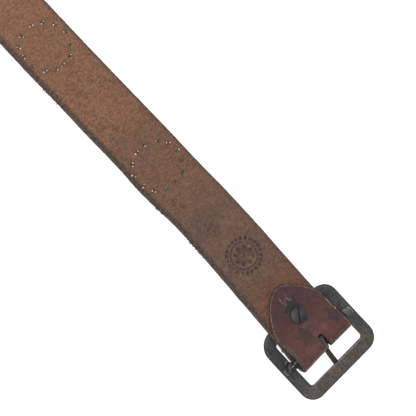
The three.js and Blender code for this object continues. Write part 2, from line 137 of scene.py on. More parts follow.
def curved(rows, count):
    """A smooth line through rows of points, with count steps from each point to the next."""
    p = np.array(rows, float)
    p = np.vstack([2 * p[0] - p[1], p, 2 * p[-1] - p[-2]])
    t = np.linspace(0, 1, count, endpoint=False)[:, None]
    line = []
    for a, b, c, d in zip(p, p[1:], p[2:], p[3:]):
        line.append(b + 0.5 * t * (c - a + t * (2 * a - 5 * b + 4 * c - d + t * (3 * (b - c) + d - a))))
    return np.vstack(line + [p[-2][None]])


def wave(points, scale, seed):
    """Smooth noise from -1 to 1 at each point, with bumps about scale apart."""
    offset = Vector((seed * 17.3, seed * 5.1, seed * 9.7))
    return np.array([noise.noise(Vector(tuple(p) + (0,) * (3 - len(p))) / scale + offset) for p in points])


def placed(points):
    return (np.array(points, float) + (BAR_X, 0, 0)) / 1000


def shown(name, data):
    made = bpy.data.objects.new(name, data)
    bpy.context.scene.collection.objects.link(made)
    return made


def mesh_piece(name, points, faces, materials, kinds=None, edges=()):
    """A smooth mesh of points in millimetres. kinds gives each face's material."""
    mesh = bpy.data.meshes.new(name)
    mesh.from_pydata(placed(points).tolist(), list(edges), [tuple(int(i) for i in face) for face in faces])
    for material in materials:
        mesh.materials.append(material)
    if kinds is not None:
        mesh.polygons.foreach_set("material_index", np.array(kinds, np.int32))
    mesh.shade_smooth()
    mesh.update()
    return shown(name, mesh)


def give_map(mesh, name, values):
    """A UV map with one pair of values for each vertex."""
    layer = mesh.uv_layers.new(name=name)
    corners = np.empty(len(mesh.loops), np.int32)
    mesh.loops.foreach_get("vertex_index", corners)
    layer.data.foreach_set("uv", np.asarray(values, np.float32)[corners].ravel())


def give_value(mesh, name, values):
    """An attribute with one value for each vertex."""
    made = mesh.attributes.new(name, "FLOAT", "POINT")
    made.data.foreach_set("value", np.asarray(values, np.float32))


def lofted(rings, capped=True):
    """Points and faces of a skin over rings that all have the same number of points."""
    count, points = len(rings[0]), [tuple(p) for ring in rings for p in ring]
    faces = []
    for i in range(len(rings) - 1 + (not capped)):
        a, b = i * count, (i + 1) % len(rings) * count
        faces += [(a + j, a + (j + 1) % count, b + (j + 1) % count, b + j) for j in range(count)]
    if capped:
        last = (len(rings) - 1) * count
        faces += [tuple(range(count))[::-1], tuple(range(last, last + count))]
    return points, faces


def joined(parts):
    points, faces = [], []
    for more, their in parts:
        faces += [tuple(i + len(points) for i in face) for face in their]
        points += list(more)
    return points, faces


def around(count):
    return np.linspace(0, 2 * math.pi, count, endpoint=False)


def circle(x, y, radius, turn):
    """The point at each turn of a circle."""
    return np.column_stack([x + radius * np.cos(turn), y + radius * np.sin(turn)])


def left_of(way):
    """The unit directions to the left of a path's directions."""
    way = way / np.linalg.norm(way, axis=1)[:, None]
    return np.column_stack([-way[:, 1], way[:, 0]])


def nearest(spots, points):
    """Which spot lies nearest to each point, and how far off it is."""
    tree = KDTree(len(spots))
    for i, spot in enumerate(spots):
        tree.insert((*spot, 0), i)
    tree.balance()
    found = np.array([tree.find((*p, 0))[1:] for p in points])
    return found[:, 0].astype(int), found[:, 1]


# Shader nodes


def tone(red, green, blue):
    """A colour as seen on a screen, from 0 to 255, as the renderer's light."""
    seen = [c / 255 for c in (red, green, blue)]
    return tuple(c / 12.92 if c < 0.04045 else ((c + 0.055) / 1.055) ** 2.4 for c in seen) + (1,)


class Reading:
    """A number, place or colour in a node tree. A sum with one adds the node that works it out."""

    def __init__(self, nodes, socket):
        self.nodes, self.socket = nodes, socket
        self.wide = socket.type in ("VECTOR", "RGBA")

    def sum(self, operation, a, b):
        wide = any(isinstance(value, tuple) or getattr(value, "wide", False) for value in (a, b))
        return self.nodes.vector(operation, a, b) if wide else self.nodes.math(operation, a, b)

    def __add__(self, other):
        return self.sum("ADD", self, other)

    def __sub__(self, other):
        return self.sum("SUBTRACT", self, other)

    def __rsub__(self, other):
        return self.sum("SUBTRACT", other, self)

    def __mul__(self, other):
        if self.wide and not isinstance(other, tuple):
            inputs = {0: self, "Scale": other}
            return self.nodes.out("ShaderNodeVectorMath", inputs, operation="SCALE")
        return self.sum("MULTIPLY", self, other)

    def __truediv__(self, other):
        return self.sum("DIVIDE", self, other)

    def __pow__(self, power):
        return self.nodes.math("POWER", self, power)

    def __abs__(self):
        return self.nodes.math("ABSOLUTE", self)

    def blend(self, share, *shade):
        """This colour with a share of another, given by its three numbers on a screen."""
        return self.nodes.mix(share, self, tone(*shade))


class Nodes:
    """Short words for adding nodes to a tree. Most of them give back a reading."""

    def __init__(self, tree):
        self.tree = tree
        tree.nodes.clear()

    def fill(self, made, inputs):
        for key, value in dict(inputs).items():
            if isinstance(value, Reading):
                self.tree.links.new(value.socket, made.inputs[key])
            else:
                made.inputs[key].default_value = value

    def add(self, kind, inputs=(), **settings):
        made = self.tree.nodes.new(kind)
        for key, value in settings.items():
            setattr(made, key, value)
        self.fill(made, inputs)
        return made

    def out(self, kind, inputs=(), key=0, **settings):
        return Reading(self, self.add(kind, inputs, **settings).outputs[key])

    def math(self, operation, a, b=0.0):
        return self.out("ShaderNodeMath", {0: a, 1: b}, operation=operation)

    def vector(self, operation, a, b):
        key = "Value" if operation == "DOT_PRODUCT" else "Vector"
        return self.out("ShaderNodeVectorMath", {0: a, 1: b}, key, operation=operation)

    def length(self, place):
        return self.out("ShaderNodeVectorMath", {0: place}, "Value", operation="LENGTH")

    def parts(self, place):
        """A place's X, Y and Z."""
        return [Reading(self, socket) for socket in self.add("ShaderNodeSeparateXYZ", {0: place}).outputs]

    def own(self, key="Object"):
        return self.out("ShaderNodeTexCoord", key=key)

    def attribute(self, name):
        return self.out("ShaderNodeAttribute", key="Fac", attribute_name=name)

    def noise(self, place, scale, detail=2, rough=0.5, distortion=0.0, key="Fac"):
        inputs = dict(Vector=place, Scale=scale, Detail=detail, Roughness=rough, Distortion=distortion)
        return self.out("ShaderNodeTexNoise", inputs, key)

    def cells(self, place, scale, feature="F1"):
        inputs = {"Vector": place, "Scale": scale}
        return self.out("ShaderNodeTexVoronoi", inputs, "Distance", feature=feature)

    def stretched(self, place, scale, turn=0.0):
        return self.out("ShaderNodeMapping", {"Vector": place, "Scale": scale, "Rotation": (0, 0, turn)})

    def rise(self, value, low, high, to_low=0.0, to_high=1.0):
        """Eases from one value to another as the input goes from low to high."""
        inputs = {"Value": value, "From Min": low, "From Max": high, "To Min": to_low, "To Max": to_high}
        return self.out("ShaderNodeMapRange", inputs, interpolation_type="SMOOTHSTEP")

    def within(self, value):
        return self.math("MINIMUM", self.math("MAXIMUM", value, 0.0), 1.0)

    def mix(self, share, first, second):
        return self.out("ShaderNodeMix", {0: share, 6: first, 7: second}, 2, data_type="RGBA")

    def group(self, tree, **inputs):
        made = self.add("ShaderNodeGroup", node_tree=tree)
        self.fill(made, inputs)
        return {socket.name: Reading(self, socket) for socket in made.outputs}

    def bump(self, height, depth, strength=1.0):
        return self.out("ShaderNodeBump", {"Height": height, "Distance": depth, "Strength": strength})


def grouped(work, **inputs):
    """A shader node group of the nodes that work adds. An input without a number is a place."""
    tree = bpy.data.node_groups.new(work.__name__, "ShaderNodeTree")
    for key, number in inputs.items():
        kind = "NodeSocketVector" if number is None else "NodeSocketFloat"
        socket = tree.interface.new_socket(key, in_out="INPUT", socket_type=kind)
        if number is not None:
            socket.default_value = number
    n = Nodes(tree)
    given = n.add("NodeGroupInput").outputs
    found = work(n, *[Reading(n, given[key]) for key in inputs])
    for key in found:
        tree.interface.new_socket(key, in_out="OUTPUT", socket_type="NodeSocketFloat")
    n.fill(n.add("NodeGroupOutput"), found)
    return tree


def suede_nap(n, place, tuft, stroke, pit):
    """Suede nap: fine tufts, short curled strokes where it was scraped, and small pits."""
    bent = place + n.noise(place, 260, key="Color") * 0.005
    tufts = n.noise(bent, tuft, 2, 0.6)
    strokes = n.noise(n.stretched(bent, (1.0, 0.5, 1.0)), stroke, 2, 0.6, 0.6)
    pits = n.rise(n.cells(bent, pit), 0.36, 0.14) * n.rise(n.noise(place, 250), 0.50, 0.60)
    dark = n.math("MAXIMUM", n.rise(strokes, 0.49, 0.39), pits)
    return {
        "Height": strokes * 2 + tufts * 0.7 - dark * 0.6,
        "Shade": tufts * 0.6 + n.noise(bent, 420, 2, 0.6) * 0.4,
        "Strokes": dark,
        "Lights": n.rise(strokes, 0.56, 0.66),
    }


def leather_grain(n, place, pebble):
    """Smooth leather grain: tiny pebbles parted by fine creases, and a few long wrinkles."""
    shifted = place + n.noise(place, 300, key="Color") * 0.0012
    pebbles = n.rise(n.cells(shifted, pebble, "DISTANCE_TO_EDGE"), 0.0, 0.16)
    wrinkles = n.rise(n.noise(n.stretched(place, (1.0, 0.22, 1.0), 0.25), 420, 3, 0.6, 0.8), 0.40, 0.52)
    return {"Height": wrinkles * 1.6 + pebbles, "Creases": 1 - wrinkles}


def star_print(n, place, middle, turn, size, slim):
    """One printed five-pointed star, with a slightly uneven outline."""
    sector = 2 * math.pi / 5
    away = place - middle
    x, y, _ = n.parts(away)
    turned = n.math("ARCTAN2", y, x) - turn
    folded = abs(n.out("ShaderNodeMath", {0: turned, 1: sector / 2, 2: -sector / 2}, operation="WRAP"))
    far = n.length(away)
    along, across = far * n.math("COSINE", folded), far * n.math("SINE", folded)
    inner = size * slim
    inner_along, inner_across = inner * math.cos(sector / 2), inner * math.sin(sector / 2)
    back = size - inner_along
    outside = (along - size) * inner_across + across * back
    outside = outside / n.math("SQRT", inner_across**2 + back**2)
    outside = outside + (n.noise(place, 900) - 0.5) * 0.0006
    return {"Print": n.rise(outside, 0.00018, -0.00018)}


def scratch(n, place, start, end, width):
    """One scratch from a place to another, ragged and broken."""
    wander = (n.noise(place, 420, key="Color") - (0.5, 0.5, 0.5)) * 0.0022
    off, line = place + wander - start, end - start
    share = n.vector("DOT_PRODUCT", off, line) / n.vector("DOT_PRODUCT", line, line)
    far = n.length(off - line * n.within(share))
    broken = n.noise(place, 1400) * 1.6 + 0.2
    return {"Scratch": n.rise(far / (width * broken), 1.3, 0.5)}


def pressed_rosette(n, place, middle, size):
    """A pressed ornament: a ring of small petals round a flower, worn away in places."""
    away = place - middle
    x, y, _ = n.parts(away)
    angle, far = n.math("ARCTAN2", y, x), n.length(away) / size

    def waves(count):
        return abs(n.math("COSINE", angle * count))

    def line(value, half):
        return n.rise(abs(value), half * 1.25, half * 0.55)

    petal = waves(4)
    shape = line(far - (petal * 0.30 + 0.20), 0.050)
    veins = n.rise(petal, 0.94, 0.985) * n.rise(far, 0.44, 0.40)
    beads = n.rise(waves(11), 0.45, 0.70) * line(far - 0.90, 0.085)
    for more in (veins, beads, n.rise(far, 0.13, 0.09), line(far - 0.70, 0.028)):
        shape = n.math("MAXIMUM", shape, more)
    return {"Pressed": shape * n.rise(n.noise(place, 170, 3, 0.6), 0.34, 0.46)}


def worn_metal(n, place, edge, brush):
    """Worn metal: bare edges, fine brushed scratches and cloudy tarnish."""
    clouds = n.noise(place, 160, 4, 0.62)
    bare = (n.noise(place, 1500, 3, 0.7) - 0.5) * 0.9 + edge + (clouds - 0.5) * 0.8
    crossed = n.noise(n.stretched(place, (0.08, 1.0, 1.0)), brush, 3, 0.7)
    dots = n.noise(n.stretched(place, (0.45, 1.0, 1.0)), brush, 2, 0.6)
    return {
        "Bare": n.rise(bare, 0.35, 0.95),
        "Along X": crossed * 0.55 + dots * 0.45,
        "Along Y": n.noise(n.stretched(place, (1.0, 0.06, 1.0)), brush, 3, 0.7),
        "Clouds": clouds,
    }


NAP = grouped(suede_nap, Place=None, Tuft=1500.0, Stroke=1000.0, Pit=520.0)
GRAIN = grouped(leather_grain, Place=None, Pebble=1100.0)
STAR = grouped(star_print, Place=None, Middle=None, Turn=0.0, Size=0.0081, Slim=0.42)
SCRATCH = grouped(scratch, Place=None, From=None, To=None, Width=0.0004)
ROSETTE = grouped(pressed_rosette, Place=None, Middle=None, Size=0.0125)
SCUFF = grouped(worn_metal, Place=None, Edge=0.0, Brush=900.0)


def material(name):
    made = bpy.data.materials.new(name)
    made.use_nodes = True
    return made, Nodes(made.node_tree)


def surface(n, colour, roughness, normal, metallic=0.0, **constants):
    """The Principled BSDF. Values that change go in by socket, and the rest are set on it."""
    inputs = {"Base Color": colour, "Roughness": roughness, "Metallic": metallic}
    inputs.update({key.replace("_", " "): value for key, value in constants.items()})
    if normal:
        inputs["Normal"] = normal
    n.add("ShaderNodeOutputMaterial", {"Surface": n.out("ShaderNodeBsdfPrincipled", inputs)})


def hide_maps(n):
    """Place along and across the hide, distance from its edge, and closeness to a stud's legs."""
    place, rim = [n.out("ShaderNodeUVMap", uv_map=name) for name in ("hide", "rim")]
    along, across, _ = n.parts(place)
    edge, pit, _ = n.parts(rim)
    return place, along, across, edge, pit


def mm(x, y, z=0.0):
    return x / 1000, y / 1000, z / 1000


def scratched(n, colour, place, rows, pale):
    """The colour with the scratches of rows of two places, width and strength."""
    for *ends, wide, strength in rows:
        half = len(ends) // 2
        ends = {"From": mm(*ends[:half]), "To": mm(*ends[half:])}
        line = n.group(SCRATCH, Place=place, Width=wide / 1000, **ends)["Scratch"]
        colour = n.mix(line * strength, colour, pale)
    return colour


SUEDE_TONES = [   # from and to where the suede's colour changes, in metres from the bar, and its tone then
    (-0.300, -0.265, 139, 101, 79), (-0.205, -0.165, 125, 92, 74), (-0.145, -0.100, 116, 90, 76),
    (-0.095, -0.070, 110, 86, 74), (-0.064, -0.044, 116, 82, 68),
]
DARK_SPECKS = [   # x, y, reach of dark specks on the suede
    (-136.0, -9.6, 0.5), (-130.6, -6.5, 0.6), (-129.6, -6.9, 0.4), (-128.0, -6.4, 0.5),
    (-128.2, -8.8, 0.5), (-126.9, -7.9, 0.4), (-124.7, -9.6, 0.6), (-123.3, -11.0, 0.5),
    (-125.6, -10.8, 0.35), (-124.9, -5.1, 0.45), (-122.6, -4.1, 0.6), (-121.7, -5.0, 0.45),
]


def suede_back():
    """The flesh side: scraped suede, a dark rubbed margin, a stain and the pressed rosette."""
    made, n = material("suede_back")
    place, along, across, edge, pit = hide_maps(n)
    nap = n.group(NAP, Place=place, Tuft=1500.0, Stroke=950.0, Pit=520.0)
    colour = tone(146, 106, 83)
    for low, high, *shade in SUEDE_TONES:
        colour = n.mix(n.rise(along, low, high), colour, tone(*shade))
    blotches = n.noise(n.stretched(place, (0.6, 1.0, 1.0)), 60, 3, 0.55)
    colour = colour.blend(n.rise(blotches, 0.50, 0.66, 0.0, 0.22), 132, 104, 72)
    colour = colour.blend(n.rise(blotches, 0.46, 0.34, 0.0, 0.2), 136, 88, 72)
    colour *= n.rise(n.noise(place, 110, 3, 0.6), 0.34, 0.66, 0.95, 1.05)
    colour *= n.rise(nap["Shade"], 0.40, 0.60, 0.92, 1.08)
    coarse = n.rise(along, -0.245, -0.222) * n.rise(along, -0.165, -0.185)
    patches = coarse * 0.35 + n.rise(n.noise(place, 60), 0.38, 0.60, 0.4, 0.8)
    colour = n.mix(nap["Lights"] * 0.4, colour, colour * 1.25)
    colour = n.mix(nap["Strokes"] * patches, colour, colour * 0.68)
    colour = colour.blend(n.rise(n.noise(place, 900, 1), 0.66, 0.72) * 0.75, 70, 50, 42)

    off = n.length((place - mm(-103.5, -3)) * (1.0, 1.1, 1.0))
    stain = n.rise(n.noise(place, 130, 3, 0.6) * 0.012 + off, 0.021, 0.008)
    colour = colour.blend(stain * 0.33, 80, 70, 66)
    ink = stain * n.rise(n.noise(place, 480, 3, 0.7), 0.50, 0.60)
    colour = colour.blend(ink * 0.6, 58, 52, 54)
    uneven = (n.noise(place, 1100) - 0.5) * 0.0012
    for x, y, size in DARK_SPECKS:
        away = uneven + n.length(place - mm(x, y))
        colour = colour.blend(n.rise(away, (size + 0.4) / 1000, size / 1000, 0.0, 0.6), 64, 52, 50)
    pressed = n.group(ROSETTE, Place=place, Middle=mm(-73, 2))["Pressed"]
    colour = colour.blend(pressed * 0.78, 64, 50, 50)
    # painted shade: the suede is darkened round each stud's legs, where they dent it
    colour = colour.blend(n.rise(pit, 0.25, 0.75, 0.0, 0.6), 66, 48, 42)

    wide = n.rise(across, -0.004, 0.004, 0.0033, 0.0015)
    reach = (n.noise(place, 520, 4, 0.75) - 0.5) * 0.0036 + edge - wide
    streaks = n.rise(n.noise(n.stretched(place, (0.5, 1.0, 1.0)), 1100, 3, 0.7), 0.46, 0.58)
    rubbed = n.mix(streaks, tone(50, 45, 46), tone(104, 95, 90))
    paler = n.mix(streaks, tone(70, 54, 50), tone(128, 104, 92))
    rubbed = n.mix(n.rise(across, -0.004, 0.004), rubbed, paler)
    rubbed = n.mix(n.rise(along, -0.190, -0.215, 0.0, 0.5), rubbed, paler)
    colour = n.mix(n.rise(reach, 0.0006, -0.0006) * 0.93, colour, rubbed)
    colour = colour.blend(n.rise(reach, 0.0020, 0.0002, 0.0, 0.35), 96, 74, 62)
    normal = n.bump(nap["Height"] - pressed * 2.2, 0.00030, 0.9)
    surface(n, colour, 0.92, normal, Specular_IOR_Level=0.18, Sheen_Weight=0.08, Sheen_Roughness=0.5)
    return made


TAB_SCRATCHES = [   # from x, y to x, y on the tab, width, strength
    (-38.2, -1.2, -36.6, -1.5, 0.5, 0.4), (-36.6, -1.5, -34.3, -1.7, 0.55, 0.5),
    (-34.3, -1.7, -32.0, -0.9, 0.55, 0.5), (-35.0, 0.5, -33.7, 0.0, 0.42, 0.35),
    (-33.7, 0.0, -32.2, -0.8, 0.42, 0.35), (-38.3, 3.2, -36.9, 2.9, 0.5, 0.3),
    (-36.9, 2.9, -34.8, 3.4, 0.5, 0.25), (-35.0, 2.0, -31.8, 3.8, 0.65, 0.6),
    (-15.6, -4.2, -13.2, -2.2, 0.35, 0.4),
]
TAB_RUBS = [   # x, y, reach of paler places
    (-14.5, 0.2, 2.6), (-10.0, -0.9, 3.2), (-7.2, -7.6, 3.0), (-5.0, 7.5, 5.0), (1.0, -8.0, 5.0),
    (-4.0, -0.8, 2.6),
]
TAB_STARS = [   # x, y, turn, strength
    (-9.4, -5.2, 1.34, 0.72), (-6.4, 17.9, -1.57, 0.85), (-28.75, 1.3, 0.925, 1.0),
]
FRONT_PITCH = 0.021   # of the printed stars on the strap's front


def front_stars(n, place, along):
    """The star prints: one in each square of the strap's front, and those that show on the tab."""
    cell = place / (FRONT_PITCH, FRONT_PITCH, FRONT_PITCH)
    local = n.vector("FRACTION", cell, (0, 0, 0)) - (0.5, 0.5, 0.0)
    chance = n.add("ShaderNodeTexWhiteNoise", {"Vector": n.vector("FLOOR", cell, (0, 0, 0))}).outputs
    shift = (Reading(n, chance["Color"]) - (0.5, 0.5, 0.5)) * 0.003
    stars = n.group(
        STAR, Place=local * FRONT_PITCH * (1, 1, 0), Middle=shift * (1, 1, 0),
        Turn=Reading(n, chance["Value"]) * 6.28, Size=0.0075,
    )["Print"]
    stars = stars * n.rise(along, TAB_START - 0.022, TAB_START - 0.026)
    for x, y, turn, strength in TAB_STARS:
        spot = n.group(STAR, Place=place, Middle=mm(on_tab(x), y), Turn=turn)["Print"]
        stars = n.math("MAXIMUM", stars, spot * strength)
    return stars


def red_brown_front():
    """The grain side: smooth dyed leather with dark printed stars, creases and scuffs."""
    made, n = material("red_brown_front")
    place, along, across, edge, _ = hide_maps(n)
    grain = n.group(GRAIN, Place=place, Pebble=1500.0)
    colour = n.mix(n.rise(along, TAB_START + 0.006, TAB_START + 0.036), tone(90, 50, 45), tone(68, 39, 42))
    colour = colour.blend(n.rise(n.noise(place, 90, 4, 0.6), 0.42, 0.62, 0.0, 0.5), 72, 40, 40)
    colour *= n.rise(n.noise(place, 300, 3), 0.36, 0.64, 0.88, 1.12)
    ragged = (n.noise(place, 320, 3, 0.65) - 0.5) * 0.006
    for x, y, size in TAB_RUBS:
        rub = n.length(place - mm(on_tab(x), y)) + ragged
        colour = colour.blend(n.rise(rub, size / 1000, 0.0, 0.0, 0.35), 118, 78, 68)
    stars = front_stars(n, place, along)
    patch = n.rise(n.noise(place, 500, 3, 0.65), 0.34, 0.5, 0.7, 1.0)
    colour = colour.blend(stars * patch, 49, 39, 43)
    colour = colour.blend(n.rise(stars, 0.88, 0.98) * 0.75, 34, 27, 34)
    colour = colour.blend(grain["Creases"] * 0.25, 54, 36, 36)
    rows = [(on_tab(x0), y0, on_tab(x1), *rest) for x0, y0, x1, *rest in TAB_SCRATCHES]
    colour = scratched(n, colour, place, rows, tone(124, 100, 92))

    border = (n.noise(place, 420, 4, 0.75) - 0.5) * 0.0040 + edge
    border = n.rise(border, 0.0030, 0.0018) * n.rise(across, -0.010, -0.014)
    border = border * n.rise(along, on_tab(-16) / 1000, on_tab(-9) / 1000)
    border = border * n.rise(along, on_strap(-40) / 1000, on_strap(-25) / 1000)
    moss = n.mix(n.rise(n.noise(place, 900, 3, 0.7), 0.42, 0.60), tone(60, 48, 42), tone(98, 88, 74))
    colour = n.mix(border * 0.9, colour, moss)

    def on_loop(start, full, end, gone):
        """1 between places along the fold, measured back from the tab's start."""
        begun = n.rise(along, TAB_START - start, TAB_START - full)
        return begun * n.rise(along, TAB_START - gone, TAB_START - end)

    speckle = n.rise(n.noise(place, 850, 2, 0.6), 0.44, 0.56)
    inside = on_loop(-0.0008, 0.0020, 0.018, 0.020)
    colour = n.mix(inside * 0.6, colour, n.mix(speckle, tone(46, 24, 25), tone(98, 62, 56)))
    # painted light and shade: lighter and darker stripes across the bend, for small wrinkles that have no
    # relief
    wrinkle_light_and_shade = (n.noise(place, 220) * 0.0022 + along) * (6.283 / 0.0017)
    colour *= n.math("SINE", wrinkle_light_and_shade) * on_loop(0.0030, 0.0042, 0.0090, 0.0100) * 0.26 + 1.0
    # painted shade: the loop is darkened from where it turns down towards its underside
    beyond = on_loop(0.0060, 0.0065, 0.018, 0.020)
    colour = colour.blend(beyond * 0.65, 50, 26, 27)
    # painted highlight: a pale line along the crest of the fold, stronger on the near side
    crest_highlight = n.rise(abs(speckle * 0.0003 + along - (TAB_START - 0.0053)), 0.0008, 0.0004)
    colour = colour.blend(crest_highlight * n.rise(across, 0.004, -0.002, 0.08, 0.32), 150, 120, 108)

    raw = n.noise(place, 700, 3, 0.7) * 0.0008 + edge
    tan = n.mix(n.rise(n.noise(place, 260), 0.42, 0.58), tone(92, 72, 68), tone(146, 120, 109))
    colour = colour.blend(n.rise(raw, 0.00175, 0.0013, 0.0, 0.35), 48, 26, 28)
    colour = n.mix(n.rise(raw, 0.0012, 0.0008, 0.0, 0.8) * (1 - border), colour, tan)
    tuft = n.length(place - mm(on_tab(-8.4), 21.3)) + ragged * 0.2
    colour = colour.blend(n.rise(tuft, 0.0012, 0.0008, 0.0, 0.8), 172, 124, 98)
    roughness = n.rise(n.noise(place, 600, 3), 0.3, 0.7, 0.42, 0.6)
    surface(n, colour, roughness, n.bump(grain["Height"], 0.00008, 0.6), Specular_IOR_Level=0.35)
    return made


def dark_edge():
    """The cut edge: dyed and rubbed dark, with the hide's layers showing as long streaks."""
    made, n = material("dark_edge")
    along, place = hide_maps(n)[1], n.own()
    layers = n.noise(n.stretched(place, (0.12, 0.12, 1.0)), 1500, 3, 0.65)
    fuzz = n.noise(place, 1200, 4, 0.7)
    colour = n.mix(n.rise(layers, 0.42, 0.58), tone(48, 43, 43), tone(90, 80, 76))
    colour = colour.blend(n.rise(fuzz, 0.54, 0.66, 0.0, 0.7), 116, 100, 90)
    colour *= n.rise(fuzz, 0.34, 0.6, 0.7, 1.1)
    mossy = n.mix(n.rise(n.noise(place, 950, 3, 0.7), 0.44, 0.58), tone(54, 40, 40), tone(112, 92, 82))
    near = n.rise(along, on_strap(-34) / 1000, on_strap(-16) / 1000, 0.0, 0.75)
    colour = n.mix(near, colour, mossy)
    # painted shade: near the buckle the edge is darkened where it faces downwards
    under = n.rise(n.parts(n.own("Normal"))[2], 0.35, 0.0, 0.0, 0.6)
    colour = colour.blend(near * under, 42, 33, 35)
    surface(n, colour, 0.85, n.bump(layers + fuzz, 0.0003, 0.8), Specular_IOR_Level=0.25)
    return made


def loose_fibre():
    made, n = material("loose_fibre")
    colour = n.mix(n.rise(n.noise(n.own(), 300), 0.4, 0.65), tone(70, 58, 53), tone(112, 86, 72))
    surface(n, colour, 0.95, n.bump(n.noise(n.own(), 9000), 0.00002), Specular_IOR_Level=0.1)
    return made


def worn_steel(name, dark, light, brush=1100.0):
    """What all the buckle's metals share: patina, scratches, specks and bare edges."""
    made, n = material(name)
    scuff = n.group(SCUFF, Place=n.own(), Edge=n.attribute("wear"), Brush=brush)
    colour = n.mix(n.rise(scuff["Clouds"], 0.36, 0.64), dark, light)
    colour *= n.rise(n.noise(n.own(), 1300, 2, 0.7), 0.36, 0.64, 0.80, 1.20)
    colour = colour.blend(scuff["Bare"] * 0.35, 122, 114, 108)
    return made, n, n.parts(n.own()), scuff, colour


def brushed_surface(n, colour, scratches, rough, polished):
    rough = n.rise(scratches, 0.35, 0.65, rough, polished)
    surface(n, colour, rough, n.bump(scratches, 0.00012, 0.6), metallic=0.6)


def near_line(n, value, middle, half):
    """1 where a value lies within half of middle, in millimetres from the bar, fading outside."""
    return n.rise(abs(value - middle / 1000), 1.25 * half / 1000, 0.75 * half / 1000)


LUG_LIGHT_AND_SHADE = [   # x, y from the bar's middle, reach and softness in millimetres, shade: painted highlights and painted shade on the lugs, with the shaded ring round the nearer lug's dimple
    (-1.5, 25.9, 2.0, 2.2, 1.4), (3.6, 25.4, 1.2, 1.4, 0.75), (1.25, -28.0, 1.9, 0.3, 0.35),
    (1.25, -28.0, 0.75, 0.35, 3.0), (-2.0, -25.3, 0.5, 0.3, 1.4), (3.0, -26.0, 1.0, 1.0, 0.75),
    (-3.2, -28.6, 1.5, 1.5, 0.85),
]
LUG_HIGHLIGHT_STREAKS = [   # from x, y, z to x, y, z beside the nearer lug, width, strength: painted highlights where its rounded side catches the light
    (-3.84, -24.1, 3.1, -2.83, -26.0, 4.2, 0.75, 0.6), (-2.83, -26.0, 4.2, -2.3, -27.4, 5.6, 0.6, 0.45),
    (-2.3, -27.4, 5.6, -1.9, -28.9, 7.4, 0.7, 0.55), (-2.4, -24.5, 11.0, -2.1, -26.0, 9.6, 0.45, 0.35),
]


def antique_gunmetal():
    """The frame: brushed along its length, slate and brown in patches, dark round the bar's nearer end, with
    painted highlights and shade on its edges and lugs.
    """
    made, n, (x, y, z), scuff, colour = worn_steel("antique_gunmetal", tone(62, 62, 62), tone(76, 75, 74))
    # brown towards the far bar, and painted a little lighter there for the light it reflects
    brown = n.rise(x, (BAR_X + 12) / 1000, (BAR_X + 24) / 1000, 0.0, 0.6)
    colour = colour.blend(brown, 82, 75, 69)
    slate = n.rise(y, -0.020, -0.027) * n.rise(x, (BAR_X + 16) / 1000, (BAR_X + 6) / 1000, 0.0, 0.5)
    colour = colour.blend(slate, 58, 60, 61)
    colour *= n.rise(scuff["Along X"], 0.38, 0.62, 0.74, 1.26)
    inset = n.attribute("inset")
    # painted shade along the outer edge's bevel, and a painted highlight line about 1.5 mm in from it
    colour *= n.rise(inset, 0.0009, 0.0004, 1.0, 0.74)
    colour *= n.rise(abs(inset - 0.0015), 0.0005, 0.0002) * 0.14 + 1.0
    # painted highlight: a light line along the far bar's inner edge
    painted_edge_highlight = near_line(n, x, BAR_X + 19.9, 0.42) * near_line(n, y, 0.0, 21.0)
    painted_edge_highlight = painted_edge_highlight * n.rise(scuff["Clouds"], 0.40, 0.55, 0.35, 0.9)
    colour = colour.blend(painted_edge_highlight, 142, 128, 122)

    across, facing = abs(y), n.parts(n.own("Normal"))[2]
    boss = n.rise(across, 0.0258, 0.0252) * n.rise(y, 0.001, -0.001) * n.rise(z, 0.0050, 0.0080)
    colour = colour.blend(boss * 0.9, 46, 46, 48)
    shine = boss * near_line(n, x, BAR_X - 0.4, 0.36) * n.rise(across, 0.0232, 0.0236)
    colour = colour.blend(shine * 0.9, 128, 126, 127)
    # painted light and shade: each spot lightens or darkens the lug round it
    for mark_x, mark_y, reach, soft, shade in LUG_LIGHT_AND_SHADE:
        away = n.math("SQRT", (x - (BAR_X + mark_x) / 1000) ** 2 + (y - mark_y / 1000) ** 2)
        near = n.rise(away, (reach + soft) / 1000, reach / 1000) * n.rise(facing, -0.4, -0.1)
        colour *= near * (shade - 1) + 1.0
    # painted light and shade: the lugs' steep sides are darkened on the near lug and lightened on the far lug
    flank_light_and_shade = n.rise(z, 0.0045, 0.0058) * n.rise(abs(facing), 0.85, 0.45)
    colour *= flank_light_and_shade * n.rise(y, -0.001, 0.001, -0.55, 0.55) + 1.0
    # painted highlights, drawn with the scratch group as light streaks on the nearer lug
    rows = [(x0 + BAR_X, y0, z0, x1 + BAR_X, *rest) for x0, y0, z0, x1, *rest in LUG_HIGHLIGHT_STREAKS]
    colour = scratched(n, colour, n.own(), rows, tone(150, 143, 140))
    brushed_surface(n, colour, scuff["Along X"], 0.60, 0.48)
    return made


